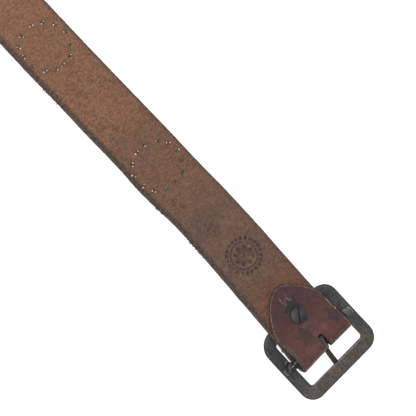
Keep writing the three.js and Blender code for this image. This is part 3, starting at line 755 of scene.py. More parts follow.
def dark_gunmetal(name, shine=None, stem=None):
    """The screw, the bar and the prong: darker, with grime and painted shade in the driver slot and inward
    corners, and a painted highlight along a given line.
    """
    made, n, (x, y, z), scuff, colour = worn_steel(name, tone(50, 51, 55), tone(64, 65, 69), 1400.0)
    if stem:
        colour = n.mix(n.rise(x, (BAR_X + 8.5) / 1000, (BAR_X + 10.5) / 1000, 0.0, 0.85), colour, stem)
        colour *= n.rise(n.noise(n.own(), 900, 2, 0.7), 0.38, 0.62, 0.72, 1.28)
    scratches = (scuff["Along X"] + scuff["Along Y"]) * 0.5
    colour *= n.rise(scratches, 0.38, 0.62, 0.85, 1.15)
    # grime, and painted shade, in the driver slot and inward corners
    colour *= n.rise(n.attribute("grime_and_shade"), 0.3, 0.9, 1.0, 0.2)
    if shine:
        # painted highlight: a light line along the bar's top or down the prong's middle
        value, middle, half, x0, x1 = shine
        rubbed = near_line(n, x if value == "X" else y, middle, half) * n.rise(z, 0.0055, 0.0075)
        rubbed = rubbed * n.rise(y, 0.012, 0.008) * near_line(n, x, BAR_X + (x0 + x1) / 2, (x1 - x0) / 2)
        rubbed = rubbed * n.rise(scuff["Clouds"], 0.38, 0.50, 0.5, 0.9)
        colour = colour.blend(rubbed, 108, 110, 111)
    brushed_surface(n, colour, scratches, 0.56, 0.42)
    return made


def tarnished_nickel():
    made, n = material("tarnished_nickel")
    scuff = n.group(SCUFF, Place=n.own(), Edge=n.attribute("wear"), Brush=2500.0)
    colour = n.mix(n.rise(scuff["Clouds"], 0.4, 0.6), tone(206, 202, 190), tone(178, 190, 186))
    dull = n.attribute("dull") + n.rise(n.noise(n.own(), 420, 1), 0.36, 0.64, -0.4, 0.4)
    colour = colour.blend(n.within(dull), 88, 94, 93)
    colour = colour.blend(n.rise(scuff["Along X"], 0.5, 0.36, 0.0, 0.35), 80, 76, 66)
    normal = n.bump(scuff["Along X"], 0.00005, 0.5)
    surface(n, colour, n.rise(dull, 0.0, 1.0, 0.26, 0.5), normal, metallic=1.0)
    return made


# The hide


def hide_profile():
    """Length, place and upward direction of the hide's front face, from the free tip past the tab's point."""
    run = np.arange(STRAP_END - 3, LOOP_X, 0.8)
    strap = np.column_stack([run, eased(HEIGHTS, run)])
    loop = circle(LOOP_X, LOOP_Z, LOOP_RADIUS, np.radians(np.arange(-90, 90.1, 2.5)))
    back = np.arange(LOOP_X - 0.8, -49, -0.8)
    over = [(-15, 6.9 + TAB_RISE), (0, LOOP_Z + LOOP_RADIUS), (LOOP_X, LOOP_Z + LOOP_RADIUS)]
    height = np.where(back > -15, eased(over, back), eased(HEIGHTS, back) + TAB_RISE)
    path = np.vstack([strap, loop, np.column_stack([back, height])])
    length = np.concatenate([[0], np.cumsum(np.linalg.norm(np.diff(path, axis=0), axis=1))])
    length -= np.interp(0.0, strap[:, 0], length[: len(strap)])
    lift = left_of(np.gradient(path, length, axis=0))
    return length, path, lift, len(strap), len(strap) + len(loop)


LENGTH, PATH, LIFT, STRAP_ROWS, LOOP_ROWS = hide_profile()


def on_strap(x):
    """The length along the hide where the strap is at x."""
    return np.interp(x, PATH[:STRAP_ROWS, 0], LENGTH[:STRAP_ROWS])


def on_tab(x):
    """The length along the hide where the tab is at x."""
    return np.interp(x, PATH[:LOOP_ROWS - 1:-1, 0], LENGTH[:LOOP_ROWS - 1:-1])


TAB_START = on_tab(LOOP_X - 0.8) / 1000


def hide_point(along, across, height):
    """The places of points given along and across the unrolled hide and above its front face."""
    x = np.interp(along, LENGTH, PATH[:, 0]) + np.interp(along, LENGTH, LIFT[:, 0]) * height
    z = np.interp(along, LENGTH, PATH[:, 1]) + np.interp(along, LENGTH, LIFT[:, 1]) * height
    return np.column_stack([x, across, z])


def evened(line, spacing):
    """A closed line's points again, as far apart as spacing(points) says."""
    line = np.vstack([line, line[:1]])
    steps = np.linalg.norm(np.diff(line, axis=0), axis=1)
    place = np.concatenate([[0], np.cumsum(steps / (0.5 * (spacing(line[1:]) + spacing(line[:-1]))))])
    at = np.linspace(0, place[-1], max(8, round(place[-1])), endpoint=False)
    return np.column_stack([np.interp(at, place, line[:, k]) for k in (0, 1)])


def hide_spacing(points):
    near = np.abs(points[:, 0] - HOLES[2]) < 70
    return np.where(points[:, 0] > VISIBLE_END, 0.9, np.where(near, 1.6, 3.2))


def hide_outline():
    """The unrolled hide's outline, anticlockwise, as places along and across it."""
    course = curved(COURSE, 12)
    course = course[course[:, 0] < LOOP_X]
    along, half = on_strap(course[:, 0]), course[:, 2] / 2
    low, high = [np.column_stack([along, course[:, 1] + sign * half]) for sign in (-1, 1)]
    tab = curved(TAB_EDGE, 8)
    tab = np.column_stack([on_tab(tab[:, 0]), tab[:, 1]])
    tail, width = course[0, 1], course[0, 2]
    tip = np.array([on_strap(STRAP_END + 0.8), tail])
    bend = on_strap(STRAP_END + 0.3 * TIP_LENGTH)
    t = np.linspace(0, 1, 20)[:, None]

    def side(sign):
        shoulder = np.array([low[0, 0], tail + sign * width / 2])
        middle = np.array([bend, tail + sign * 0.32 * width])
        return shoulder * (1 - t) ** 2 + 2 * middle * t * (1 - t) + tip * t**2

    line = np.vstack([low, tab, high[::-1], side(1)[1:-1], side(-1)[::-1][:-1]])
    return evened(line, hide_spacing)


def ring_normals(line):
    """Directions into the leather from an anticlockwise outline, or out of a clockwise hole."""
    return left_of(np.roll(line, -1, axis=0) - np.roll(line, 1, axis=0))


def slot_hole():
    """The outline of the prong's slot, clockwise."""
    end = circle(0, 0, SLOT_HALF, np.linspace(math.pi / 2, 3 * math.pi / 2, 14))
    left, right = (on_strap(SLOT_FRONT), SLOT_Y) + end, (on_tab(SLOT_BACK), SLOT_Y) - end
    return evened(np.vstack([left, right])[::-1], lambda points: np.full(len(points), 0.7))


def all_rings():
    """Stud places, leg directions and dullness of every ring of studs."""
    rings, rows = [], np.array(COURSE)[:, :2].T
    for i in range(len(RINGS) + MORE_RINGS):
        x, y, angles, strays, legs, dull = RINGS[i % len(RINGS)]
        turn = 0
        if i >= len(RINGS):
            x, turn = RINGS[0][0] - RING_PITCH * i, 9 * i
            y = np.interp(x, *rows)
        a, far = np.radians(np.array(angles) + turn), RING_RADIUS + np.array(strays)
        rings.append((circle(x, y, far, a), np.radians(legs) + math.radians(turn), np.array(dull)))
    return rings


STUD_RINGS = all_rings()
OUTER_EDGE = [   # distance in from the hide's edge, height above its front face
    (1.6, 3.0), (1.0, 2.9), (0.55, 2.68), (0.22, 2.3), (0.05, 1.8), (0.0, 1.2), (0.05, 0.7), (0.25, 0.25),
    (0.7, 0.04), (1.6, 0.0),
]
BACK, FRONT, EDGE = range(3)   # which of the hide's materials a face has
HOLE_EDGE = [(0.45, 3.0), (0.14, 2.88), (0.0, 2.5), (0.0, 1.5), (0.0, 0.5), (0.14, 0.12), (0.45, 0.0)]


def inner_points(lines, studs):
    """Points all over the flat hide: close near the buckle, sparse beyond, and in rings round each stud."""
    grids = []
    for xs, ys in (
        (np.arange(VISIBLE_END, LENGTH[-1], 1.0), np.arange(-22, 24, 1.0)),
        (np.arange(STRAP_END, VISIBLE_END - 1, 3.4), np.arange(-21, 23, 3.4)),
    ):
        grids.append(np.array([(x, y) for x in xs for y in ys]))
    grids[0][:, 1] += 0.5 * (np.round(grids[0][:, 0] - VISIBLE_END) % 2)
    inner = np.vstack(grids)
    inner += np.array([[random.uniform(-0.12, 0.12) for _ in "xy"] for _ in inner])
    room, seat = nearest(lines, inner)[1], nearest(studs, inner)[1]
    inner = inner[(room > np.where(inner[:, 0] > VISIBLE_END, 0.6, 1.7)) & (seat > 2.7)]
    rings = [(r, a) for r, count in ((0.0, 1), (0.7, 6), (1.4, 12), (2.1, 16)) for a in around(count)]
    seats = [(x + r * math.cos(a), y + r * math.sin(a)) for x, y in studs for r, a in rings]
    return np.vstack([inner, seats])


def flat_triangles(flat, lines, holes):
    """The flat hide's triangles, apart from those over its holes, of which the first is the prong's slot."""
    loops, start = [], 0
    for line in lines:
        loops += [(start + i, start + (i + 1) % len(line)) for i in range(len(line))]
        start += len(line)
    points, _, triangles, *_ = delaunay_2d_cdt([tuple(map(float, p)) for p in flat], loops, [], 1, 1e-7)
    assert len(points) == len(flat)
    middles = flat[np.array(triangles)].mean(axis=1)
    in_slot = np.clip(middles[:, 0], on_strap(SLOT_FRONT), on_tab(SLOT_BACK))
    empty = np.hypot(middles[:, 0] - in_slot, middles[:, 1] - SLOT_Y) < SLOT_HALF + 0.3
    for hole in holes[1:]:
        middle = hole.mean(axis=0)
        empty |= np.linalg.norm(middles - middle, axis=1) < np.linalg.norm(hole[0] - middle) + 0.25
    return np.array(triangles)[~empty]


def make_hide(materials):
    """The whole hide, meshed flat as it was cut, then bent round the bar."""
    random.seed(5)
    outline = hide_outline()
    inward = ring_normals(outline)
    ragged = 0.08 * wave(outline, 5.0, 1) + 0.10 * wave(outline, 1.9, 2) + 0.10 * wave(outline, 0.9, 3)
    ragged *= 0.6 + 0.6 * smooth(0.5 - outline[:, 1] / 20)
    for tooth, long in (((on_strap(-11.3), -22.1), 0.7), ((on_tab(-8.4), 20.9), 0.8)):
        ragged -= long * np.exp(-((np.linalg.norm(outline - tooth, axis=1) / 0.7) ** 2))
    outline = outline + inward * ragged[:, None]
    course = curved(COURSE, 12).T
    holes = [slot_hole()]
    for place in (on_strap(SCREW_X), on_tab(SCREW_X)):
        holes.append(circle(place, SCREW_Y, SCREW_HOLE, -around(20)))
    holes += [circle(on_strap(x), np.interp(x, *course[:2]), HOLE_RADIUS, -around(28)) for x in HOLES]

    lines = [outline + inward * OUTER_EDGE[0][0]]
    lines += [hole + ring_normals(hole) * HOLE_EDGE[0][0] for hole in holes]
    places = np.vstack([ring[0] for ring in STUD_RINGS])
    studs = np.column_stack([on_strap(places[:, 0]), places[:, 1]])
    flat = np.vstack(lines + [inner_points(np.vstack(lines), studs)])
    triangles = flat_triangles(flat, lines, holes)
    count = len(flat)
    faces = [tuple(t) for t in triangles] + [(a + count, c + count, b + count) for a, b, c in triangles]
    kinds = [BACK] * len(triangles) + [FRONT] * len(triangles)
    along, height = [flat, flat], [np.full(count, LEATHER), np.zeros(count)]
    total, start = 2 * count, 0
    for line, section in [(outline, OUTER_EDGE)] + [(hole, HOLE_EDGE) for hole in holes]:
        size, toward = len(line), inward if section is OUTER_EDGE else ring_normals(line)
        above = list(range(start, start + size))
        for k, (depth, level) in enumerate(section[1:], 1):
            if k < len(section) - 1:
                along.append(line + toward * depth)
                height.append(np.full(size, level))
                below = list(range(total, total + size))
                total += size
            else:
                below = list(range(count + start, count + start + size))
            faces += [(above[i], below[i], below[(i + 1) % size], above[(i + 1) % size]) for i in range(size)]
            middle = 0.5 * (level + section[k - 1][1])
            kind = EDGE if section is HOLE_EDGE or 0.3 <= middle <= 2.6 else BACK if middle > 2.6 else FRONT
            kinds += [kind] * size
            above = below
        start += size
    along, height = np.vstack(along), np.concatenate(height)

    edge = nearest(outline, along)[1]
    dullness = np.concatenate([dull for _, _, dull in STUD_RINGS])
    stud, far = nearest(studs, along)
    pit = np.exp(-((far / 1.7) ** 2)) * (1 - 0.5 * dullness[stud])
    height = height - np.where(height > 2.9, 0.35 * pit, 0)
    bumps = 0.10 * wave(along, 6.0, 4) + 0.05 * wave(along, 2.2, 5)
    height += np.where(height > 2.0, bumps, 0) * smooth(edge / 2)
    points = hide_point(along[:, 0], along[:, 1], height)
    points[:, 2] += sag(points)
    points[:, 0] += 0.45 * smooth((-points[:, 1] - 4) / 16) * smooth((points[:, 0] - 0.5) / 3)
    made = mesh_piece("hide", points, faces, materials, kinds)
    give_map(made.data, "hide", along / 1000)
    give_map(made.data, "rim", np.column_stack([np.minimum(edge, 20) / 1000, pit]))
    return made


def sag(points):
    """How far the belt's uneven leather lifts at each place, in millimetres."""
    slow = np.column_stack([points[:, 0] / 70, points[:, 1] / 60])
    lift = 0.35 * (1 + wave(slow, 1.0, 7)) * smooth((-60 - points[:, 0]) / 60)
    return lift * smooth((points[:, 0] + 1040) / 60)


# Metal


def wear_of(made, radius=0.5, more_darkening=None):
    """Marks outward edges as worn and inward corners as dark with grime and painted shade, from 0 to 1. The
    function given as third argument adds to that darkening.
    """
    mesh = made.data
    count = len(mesh.vertices)
    co, normal = np.empty(3 * count), np.empty(3 * count)
    mesh.vertices.foreach_get("co", co)
    mesh.vertices.foreach_get("normal", normal)
    co, normal = co.reshape(-1, 3) * 1000, normal.reshape(-1, 3)
    ends = np.empty(2 * len(mesh.edges), np.int32)
    mesh.edges.foreach_get("vertices", ends)
    a, b = ends.reshape(-1, 2).T
    most, least = np.zeros(count), np.zeros(count)
    for one, other in ((a, b), (b, a)):
        gap = co[one] - co[other]
        bend = 2 * np.einsum("ij,ij->i", normal[one], gap) / np.maximum((gap**2).sum(axis=1), 1e-6)
        np.maximum.at(most, one, bend)
        np.minimum.at(least, one, bend)
    grime_and_shade = smooth(-least * radius)
    if more_darkening is not None:
        grime_and_shade = np.maximum(grime_and_shade, more_darkening(co - (BAR_X, 0, 0)))
    give_value(mesh, "wear", smooth(most * radius))
    give_value(mesh, "grime_and_shade", grime_and_shade)


def section_ring(middle, side, up, half_side, half_up, count, square):
    """A closed ring of points: a rectangle about middle. Its corners are sharper the higher square is."""
    ring = []
    for t in around(count):
        c, s = math.cos(t), math.sin(t)
        a = math.copysign(abs(c) ** (2 / square), c) * half_side
        b = math.copysign(abs(s) ** (2 / square), s) * half_up
        ring.append(np.array(middle) + np.array(side) * a + np.array(up) * b)
    return ring


def rounded_outline(x0, x1, y0, y1, radii):
    """A rectangle with round corners, anticlockwise from its lower right corner."""
    spots = [(x1, y0, -1, 1, -90), (x1, y1, -1, -1, 0), (x0, y1, 1, -1, 90), (x0, y0, 1, 1, 180)]
    arcs = []
    for (x, y, to_x, to_y, turn), radius in zip(spots, radii):
        a = np.radians(np.linspace(turn, turn + 90, 12))
        arcs.append(circle(x + to_x * radius, y + to_y * radius, radius, a))
    line = []
    for i, corner in enumerate(arcs):
        start, end = corner[-1], arcs[(i + 1) % 4][0]
        t = np.linspace(0, 1, 49 if i % 2 else 61)[1:-1, None]
        line += [corner, start + (end - start) * t]
    return np.vstack(line)


def arch(x):
    return (x - FRAME_MIDDLE) ** 2 / (2 * ARCH_RADIUS)


FRAME_SECTION = [   # place across the frame's bar: side it is measured from, distance or share, height
    ("in", 0.0, 0.7), ("in", 0.0, 1.5), ("in", 0.0, 2.35), ("in", 0.14, 2.72), ("in", 0.5, 2.93),
    ("in", 1.1, 3.0), ("mid", 0.35, 3.02), ("mid", 0.5, 3.03), ("mid", 0.65, 3.02), ("out", 1.3, 2.98),
    ("out", 0.6, 2.82), ("out", 0.2, 2.5), ("out", 0.0, 2.0), ("out", 0.0, 1.4), ("out", 0.05, 0.8),
    ("out", 0.3, 0.3), ("out", 0.8, 0.06), ("mid", 0.75, 0.0), ("mid", 0.55, 0.0), ("mid", 0.4, 0.0),
    ("mid", 0.22, 0.0), ("in", 0.7, 0.06), ("in", 0.2, 0.3),
]


def frame_ring():
    """The rounded, bowed ring of the frame, and how far each of its points lies from its outer outline."""
    x0, x1, half = FRAME_MIDDLE - FRAME_LENGTH / 2, FRAME_MIDDLE + FRAME_LENGTH / 2, FRAME_WIDTH / 2
    outer = rounded_outline(x0, x1, -half, half, FRAME_CORNERS)
    window = (x0 + END_BAR, x1 - END_BAR, SIDE_BAR - half, half - SIDE_BAR)
    inner = rounded_outline(*window, (WINDOW_CORNER,) * 4)
    x, y = inner.T
    inner[:, 1] = y + 0.3 * smooth((-y - 15) / 4) - 0.35 * smooth((y - 15) / 4) * smooth((2 - x) / 12)
    for line in (outer, inner):
        back, up = (x1 - line[:, 0]) / FRAME_LENGTH, 0.5 + line[:, 1] / FRAME_WIDTH
        skew = [-0.35 * back * (1 - up) - 0.45 * up * (1 - back), 0.35 * back + 0.1 * (1 - back) * up]
        line += np.column_stack(skew)
    across = outer - inner
    width = np.linalg.norm(across, axis=1)[:, None]
    rings, inset = [], []
    for side, far, level in FRAME_SECTION:
        share = far if side == "mid" else far / width if side == "in" else 1 - far / width
        flat = inner + across * share
        bumps = 0.07 * wave(flat, 9.0, 11) + 0.03 * wave(flat, 2.5, 12)
        z = level + arch(flat[:, 0]) + bumps * smooth(level - 0.5)
        if level < 1.2:
            seat = smooth((2.9 - np.abs(flat[:, 1] - NOTCH_Y)) / 1.2)
            seat *= smooth((flat[:, 0] - 17.5) / 1.2) * smooth((28.2 - flat[:, 0]) / 0.9)
            z = np.maximum(z, arch(flat[:, 0]) + 1.4 * seat)
        rings.append(np.column_stack([flat, z]))
        inset.append((width * (1 - share)).ravel())
    points, faces = lofted([list(r) for r in rings], capped=False)
    return points, faces, np.concatenate(inset)


LUG_ROWS = [   # distance out, middle x, lowest and highest point, half width, half width of the foot
    (22.98, 0.0, 8.0, 10.8, 1.5, 1.5), (23.05, 0.0, 7.0, 11.8, 2.4, 2.4), (23.3, 0.0, 6.4, 12.3, 2.95, 3.0),
    (23.8, 0.0, 5.2, 12.6, 3.2, 3.5), (24.5, 0.05, 2.6, 12.6, 3.2, 4.6), (25.2, 0.2, 1.6, 12.3, 3.1, 4.9),
    (25.8, 0.3, 1.2, 11.75, 3.0, 4.6), (26.5, 0.45, 1.2, 11.55, 2.9, 4.1), (27.3, 0.6, 1.2, 11.4, 2.8, 3.5),
]
LUG_ENDS = {   # the rows that follow on the lug of the far side, 1, and the near side, -1
    1: [(28.1, 0.75, 1.2, 10.9, 2.7, 3.1), (28.8, 0.8, 1.2, 9.7, 2.5, 2.8), (29.3, 0.8, 1.2, 7.4, 2.3, 2.6),
        (29.7, 0.8, 1.2, 4.8, 2.0, 2.3), (29.95, 0.8, 1.2, 3.0, 1.6, 1.8)],
    -1: [(28.1, 0.75, 1.2, 11.3, 2.8, 3.2), (28.9, 0.8, 1.2, 11.0, 2.75, 3.0),
         (29.5, 0.8, 1.2, 10.2, 2.6, 2.8), (29.9, 0.8, 1.2, 8.4, 2.4, 2.6),
         (30.2, 0.8, 1.2, 5.2, 2.1, 2.3), (30.35, 0.8, 1.2, 3.0, 1.6, 1.8)],
}
DIMPLE = (1.25, -28.0)


def lug(side):
    """A smooth lump on the frame's side with a boss round the bar, and a round dimple on the nearer one."""
    rings = []
    for y, x, low, high, half, foot in curved(LUG_ROWS + LUG_ENDS[side], 3):
        middle = (x, side * y, (low + high) / 2)
        ring = np.array(section_ring(middle, (1, 0, 0), (0, 0, 1), half, (high - low) / 2, 40, 2.2))
        ring[:, 0] += (ring[:, 0] - x) * (foot / half - 1) * smooth((5.5 - ring[:, 2]) / 3.5)
        if side < 0:
            far = np.linalg.norm(ring[:, :2] - DIMPLE, axis=1)
            dent = smooth((1.9 - far) / 0.6) - smooth((0.9 - far) / 0.5)
            ring[:, 2] -= 0.3 * dent * (ring[:, 2] > 5)
        rings.append(list(ring))
    return lofted(rings)


def make_buckle(metal):
    """The frame with its two lugs. Its inset value is how far in from its outer outline a point lies."""
    points, faces, inset = frame_ring()
    lugs = joined([lug(1), lug(-1)])
    inset = np.concatenate([inset, np.full(len(lugs[0]), 4.0)])   # the lugs get none of the frame's painted edge shade and highlight
    points, faces = joined([(points, faces), lugs])
    made = mesh_piece("buckle", points, faces, [metal])
    give_value(made.data, "inset", inset / 1000)
    return made


def turned_piece(profile, sides, centre, axis="z"):
    """Points and faces turned from rows of radius and height. The first and last rows lie near the axis."""
    rings = []
    for radius, level in profile:
        a, b, level = radius * np.cos(around(sides)), radius * np.sin(around(sides)), np.full(sides, level)
        rings.append(np.column_stack([a, b, level] if axis == "z" else [b, level, a]) + centre)
    return lofted(rings)


def make_bar(metal):
    """The round bar, slightly uneven, with softened ends."""
    end = BAR_END - 1.2
    tip = [(BAR_RADIUS, end - 0.4), (BAR_RADIUS - 0.1, end - 0.15), (BAR_RADIUS - 0.4, end), (0.2, end)]
    profile = [(r, -y) for r, y in tip[::-1]] + [(BAR_RADIUS, y) for y in np.linspace(-24, 24, 17)] + tip
    points, faces = turned_piece(profile, 28, (0, 0, BAR_HEIGHT), "y")
    points = np.array(points)
    away = points - (0, 0, BAR_HEIGHT)
    points += away * (0.03 * wave(points, 4.0, 15))[:, None] * (1, 0, 1)
    return mesh_piece("centre_bar_pin", points, faces, [metal])


PRONG_STEM = [   # x, middle line y, lower and upper line, half width
    (2.5, 1.28, 5.6, 10.35, 1.5), (2.8, 1.28, 5.15, 10.3, 1.62), (4.2, 1.24, 4.7, 9.8, 1.62),
    (5.6, 1.18, 4.25, 9.3, 1.6), (6.7, 1.08, 3.9, 8.9, 1.56), (7.6, 0.92, 3.65, 8.35, 1.52),
    (8.3, 0.66, 3.42, 7.3, 1.54), (9.0, 0.38, 3.2, 6.0, 1.62), (9.7, 0.2, 2.98, 5.0, 1.68),
    (11.0, 0.02, 2.5, 4.35, 1.72), (13.5, -0.14, 1.8, 3.6, 1.78), (15.8, -0.25, 1.1, 2.95, 1.76),
    (17.3, -0.32, 0.68, 2.42, 1.82), (18.6, -0.4, 0.38, 2.02, 1.84), (20.4, -0.52, 0.27, 1.88, 1.78),
    (22.6, -0.66, 0.42, 2.0, 1.7), (24.6, -0.78, 0.62, 2.15, 1.6), (25.8, -0.8, 0.82, 2.2, 1.4),
    (26.4, -0.8, 1.02, 2.1, 1.1), (26.8, -0.8, 1.35, 1.85, 0.6),
]


def make_prong(metal):
    """An eye round the bar, and a stem with a raised root that slopes down to its seat under the far bar."""
    eye, stem = [], []
    for a in np.radians(np.arange(268, -2, -9)):
        out = np.array((math.cos(a), 0, math.sin(a)))
        eye.append(section_ring((0, EYE_Y, BAR_HEIGHT) + 2.86 * out, (0, 1, 0), out, 1.62, 0.53, 24, 6.0))
    for x, y, low, high, half in curved(PRONG_STEM, 3):
        middle = (x, y, (low + high) / 2)
        stem.append(section_ring(middle, (0, 1, 0), (0, 0, 1), half, (high - low) / 2, 24, 4.5))
    points, faces = joined([lofted(eye), lofted(stem)])
    return mesh_piece("prong_strip", points, faces, [metal])


def recalculated(made):
    """Turns every face of a closed mesh outwards."""
    shape = bmesh.new()
    shape.from_mesh(made.data)
    bmesh.ops.remove_doubles(shape, verts=shape.verts, dist=1e-7)
    bmesh.ops.recalc_face_normals(shape, faces=shape.faces)
    shape.to_mesh(made.data)
    shape.free()
    made.data.shade_smooth()
    return made


def make_screw(metal):
    """The domed head with its driver slot, and the shank inside the post."""
    rim = [(0.5, 0), (0.1, 0.15), (0, 0.5), (0.1, 0.9)]   # in from the head's widest, up from its underside
    profile = [(0.2, 6.9), (1.4, 6.9), (1.4, HEAD_BOTTOM)]
    profile += [(HEAD_RADIUS - a, HEAD_BOTTOM + b) for a, b in rim]
    for a in np.linspace(0.12, 0.97, 9) * math.pi / 2:
        profile.append((HEAD_RADIUS * math.cos(a), HEAD_BOTTOM + 1.0 + (HEAD_HEIGHT - 1.0) * math.sin(a)))
    points, faces = turned_piece(profile, 64, (SCREW_X, SCREW_Y, 0))
    head = recalculated(mesh_piece("screw_head", points, faces, [metal]))
    turn = math.radians(SLOT_TURN)
    along, across = np.array(((math.cos(turn), math.sin(turn), 0), (-math.sin(turn), math.cos(turn), 0)))
    top = (SCREW_X, SCREW_Y, HEAD_BOTTOM + HEAD_HEIGHT)
    section = ((-0.62, -0.9), (0.62, -0.9), (0.72, 1.5), (-0.72, 1.5))   # across the driver slot and up
    rings = [[top + along * end + across * a + (0, 0, b) for a, b in section] for end in (-7.5, 7.5)]
    points, faces = lofted(rings)
    cutter = recalculated(mesh_piece("slot_cutter", points, faces, [metal]))
    cut = head.modifiers.new("slot", "BOOLEAN")
    cut.object, cut.operation, cut.solver = cutter, "DIFFERENCE", "EXACT"
    soften = head.modifiers.new("soften", "BEVEL")
    soften.width, soften.segments = 0.00016, 2
    soften.limit_method, soften.angle_limit = "ANGLE", math.radians(40)
    baked(head)
    bpy.data.objects.remove(cutter)
    return head


def in_driver_slot(points):
    """How dark the screw is made at each point, with grime and painted shade: the slot's floor and walls are.
    """
    turn = math.radians(SLOT_TURN)
    off = points[:, :2] - (SCREW_X, SCREW_Y)
    across = np.abs(off @ (-math.sin(turn), math.cos(turn)))
    return ((across < 0.66) & (points[:, 2] > HEAD_BOTTOM + 0.3)).astype(float)


def make_post(metal):
    """The cap on the front and its hollow barrel, through both layers of leather."""
    profile = [
        (0.2, 5.4), (4.3, 5.4), (4.75, 5.5), (5.0, 5.85), (5.0, 6.45), (4.85, 6.6), (2.5, 6.6), (2.5, 13.3),
        (1.7, 13.3), (1.7, 6.7), (0.2, 6.7),
    ]
    points, faces = turned_piece(profile, 48, (SCREW_X, SCREW_Y, 0))
    return recalculated(mesh_piece("screw_cap", points, faces, [metal]))


def baked(made):
    """Turns a piece's live modifiers into a plain mesh."""
    bpy.context.view_layer.update()
    done = made.evaluated_get(bpy.context.evaluated_depsgraph_get())
    mesh = bpy.data.meshes.new_from_object(done)
    made.modifiers.clear()
    made.data = mesh
    mesh.shade_smooth()
    return made


# Geometry nodes for what repeats


class Geometry(Nodes):
    """A geometry node tree. Each of its inputs has a name, a kind and a value to start from."""

    def __init__(self, name, inputs):
        tree = bpy.data.node_groups.new(name, "GeometryNodeTree")
        super().__init__(tree)
        self.ids = {}
        for key, (kind, default) in inputs.items():
            socket = tree.interface.new_socket(key, in_out="INPUT", socket_type="NodeSocket" + kind)
            if default is not None:
                socket.default_value = default
            self.ids[key] = socket.identifier
        tree.interface.new_socket("Geometry", in_out="OUTPUT", socket_type="NodeSocketGeometry")
        given = self.add("NodeGroupInput").outputs
        self.given = {key: Reading(self, given[key]) for key in inputs}

    def named(self, name, kind="FLOAT"):
        return self.out("GeometryNodeInputNamedAttribute", {"Name": name}, "Attribute", data_type=kind)

    def drawn(self, kind, seed, inputs):
        """A random value. The kind says which of the node's outputs gives it."""
        key = {"FLOAT_VECTOR": 0, "FLOAT": 1, "BOOLEAN": 3}[kind]
        return self.out("FunctionNodeRandomValue", {**inputs, "Seed": seed}, key, data_type=kind)

    def finish(self, instances, material):
        real = self.out("GeometryNodeRealizeInstances", {0: instances})
        done = self.out("GeometryNodeSetMaterial", {"Geometry": real, "Material": material})
        self.add("NodeGroupOutput", {0: done})

    def run(self, made, values):
        step = made.modifiers.new(self.tree.name, "NODES")
        step.node_group = self.tree
        for key, value in values.items():
            step[self.ids[key]] = value
        return baked(made)


def stud_tree():
    """Puts a copy of one stud at each point of a ring, turned as its legs are, each a little different."""
    g = Geometry("stud_ring", {
        "Geometry": ("Geometry", None), "Stud": ("Object", None), "Tilt": ("Float", 0.10),
        "Size Drift": ("Float", 0.08), "Seed": ("Int", 3), "Metal": ("Material", None),
    })
    seed, drift, tilt = g.given["Seed"], g.given["Size Drift"], g.given["Tilt"]
    most = g.out("ShaderNodeCombineXYZ", {0: tilt, 1: tilt})
    lean = g.drawn("FLOAT_VECTOR", seed, {"Min": most * -1.0, "Max": most})
    turned = lean + g.out("ShaderNodeCombineXYZ", {2: g.named("turn")})
    size = g.drawn("FLOAT", seed, {2: 1.0 - drift, 3: drift + 1.0})
    wide = g.out("ShaderNodeCombineXYZ", {0: size, 1: size, 2: 1.0})
    stud = g.out("GeometryNodeObjectInfo", {"Object": g.given["Stud"], "As Instance": True}, "Geometry")
    put = {"Points": g.given["Geometry"], "Instance": stud, "Rotation": turned, "Scale": wide}
    g.finish(g.out("GeometryNodeInstanceOnPoints", put), g.given["Metal"])
    return g


def fibre_tree():
    """Grows loose fibres out of a line along the hide's edge."""
    g = Geometry("edge_fibres", {
        "Geometry": ("Geometry", None), "Spacing": ("Float", 0.00042), "Length": ("Float", 0.0017),
        "Thickness": ("Float", 0.00042), "Seed": ("Int", 1), "Fibre": ("Material", None),
    })
    seed, length = g.given["Seed"], g.given["Length"]
    line = g.out("GeometryNodeMeshToCurve", {"Mesh": g.given["Geometry"]})
    spaced = {"Curve": line, "Length": g.given["Spacing"]}
    points = g.out("GeometryNodeCurveToPoints", spaced, "Points", mode="LENGTH")
    arc = {"Resolution": 4, "Start": (0, 0, 0), "Middle": (0, 0.0004, 0.5), "End": (0, 0.35, 1.0)}
    bend = g.out("GeometryNodeCurveQuadraticBezier", arc)
    radius = g.out("GeometryNodeSplineParameter", key="Factor") * -0.8 + 1.0
    bend = g.out("GeometryNodeSetCurveRadius", {"Curve": bend, "Radius": radius})
    ring = {"Resolution": 4, "Radius": g.given["Thickness"] / length}
    ring = g.out("GeometryNodeCurvePrimitiveCircle", ring)
    fibre = g.out("GeometryNodeCurveToMesh", {"Curve": bend, "Profile Curve": ring, "Fill Caps": True})
    loose = g.named("loose")
    stray = g.drawn("FLOAT_VECTOR", seed, {0: (-0.9, -0.9, -0.6), 1: (0.9, 0.9, 0.6)})
    way = g.vector("ADD", g.named("outward", "FLOAT_VECTOR"), stray)
    facing = g.out("FunctionNodeAlignRotationToVector", {"Vector": way}, axis="Z")
    long = g.drawn("FLOAT", seed + 1.0, {2: 0.3, 3: 1.5}) * loose * length
    chance = g.drawn("BOOLEAN", seed + 2.0, {"Probability": loose})
    put = {"Points": points, "Selection": chance, "Instance": fibre, "Rotation": facing, "Scale": long}
    g.finish(g.out("GeometryNodeInstanceOnPoints", put), g.given["Fibre"])
    return g


LEG_BEND = [   # distance from the stud's middle, height, half width, half thickness
    (1.5, 1.8, 0.56, 0.25), (1.52, 4.9, 0.58, 0.27), (1.5, 5.42, 0.62, 0.30), (1.26, 5.72, 0.64, 0.30),
    (0.9, 5.72, 0.60, 0.28), (0.6, 5.46, 0.5, 0.24), (0.42, 5.05, 0.36, 0.16), (0.36, 4.8, 0.2, 0.1),
]


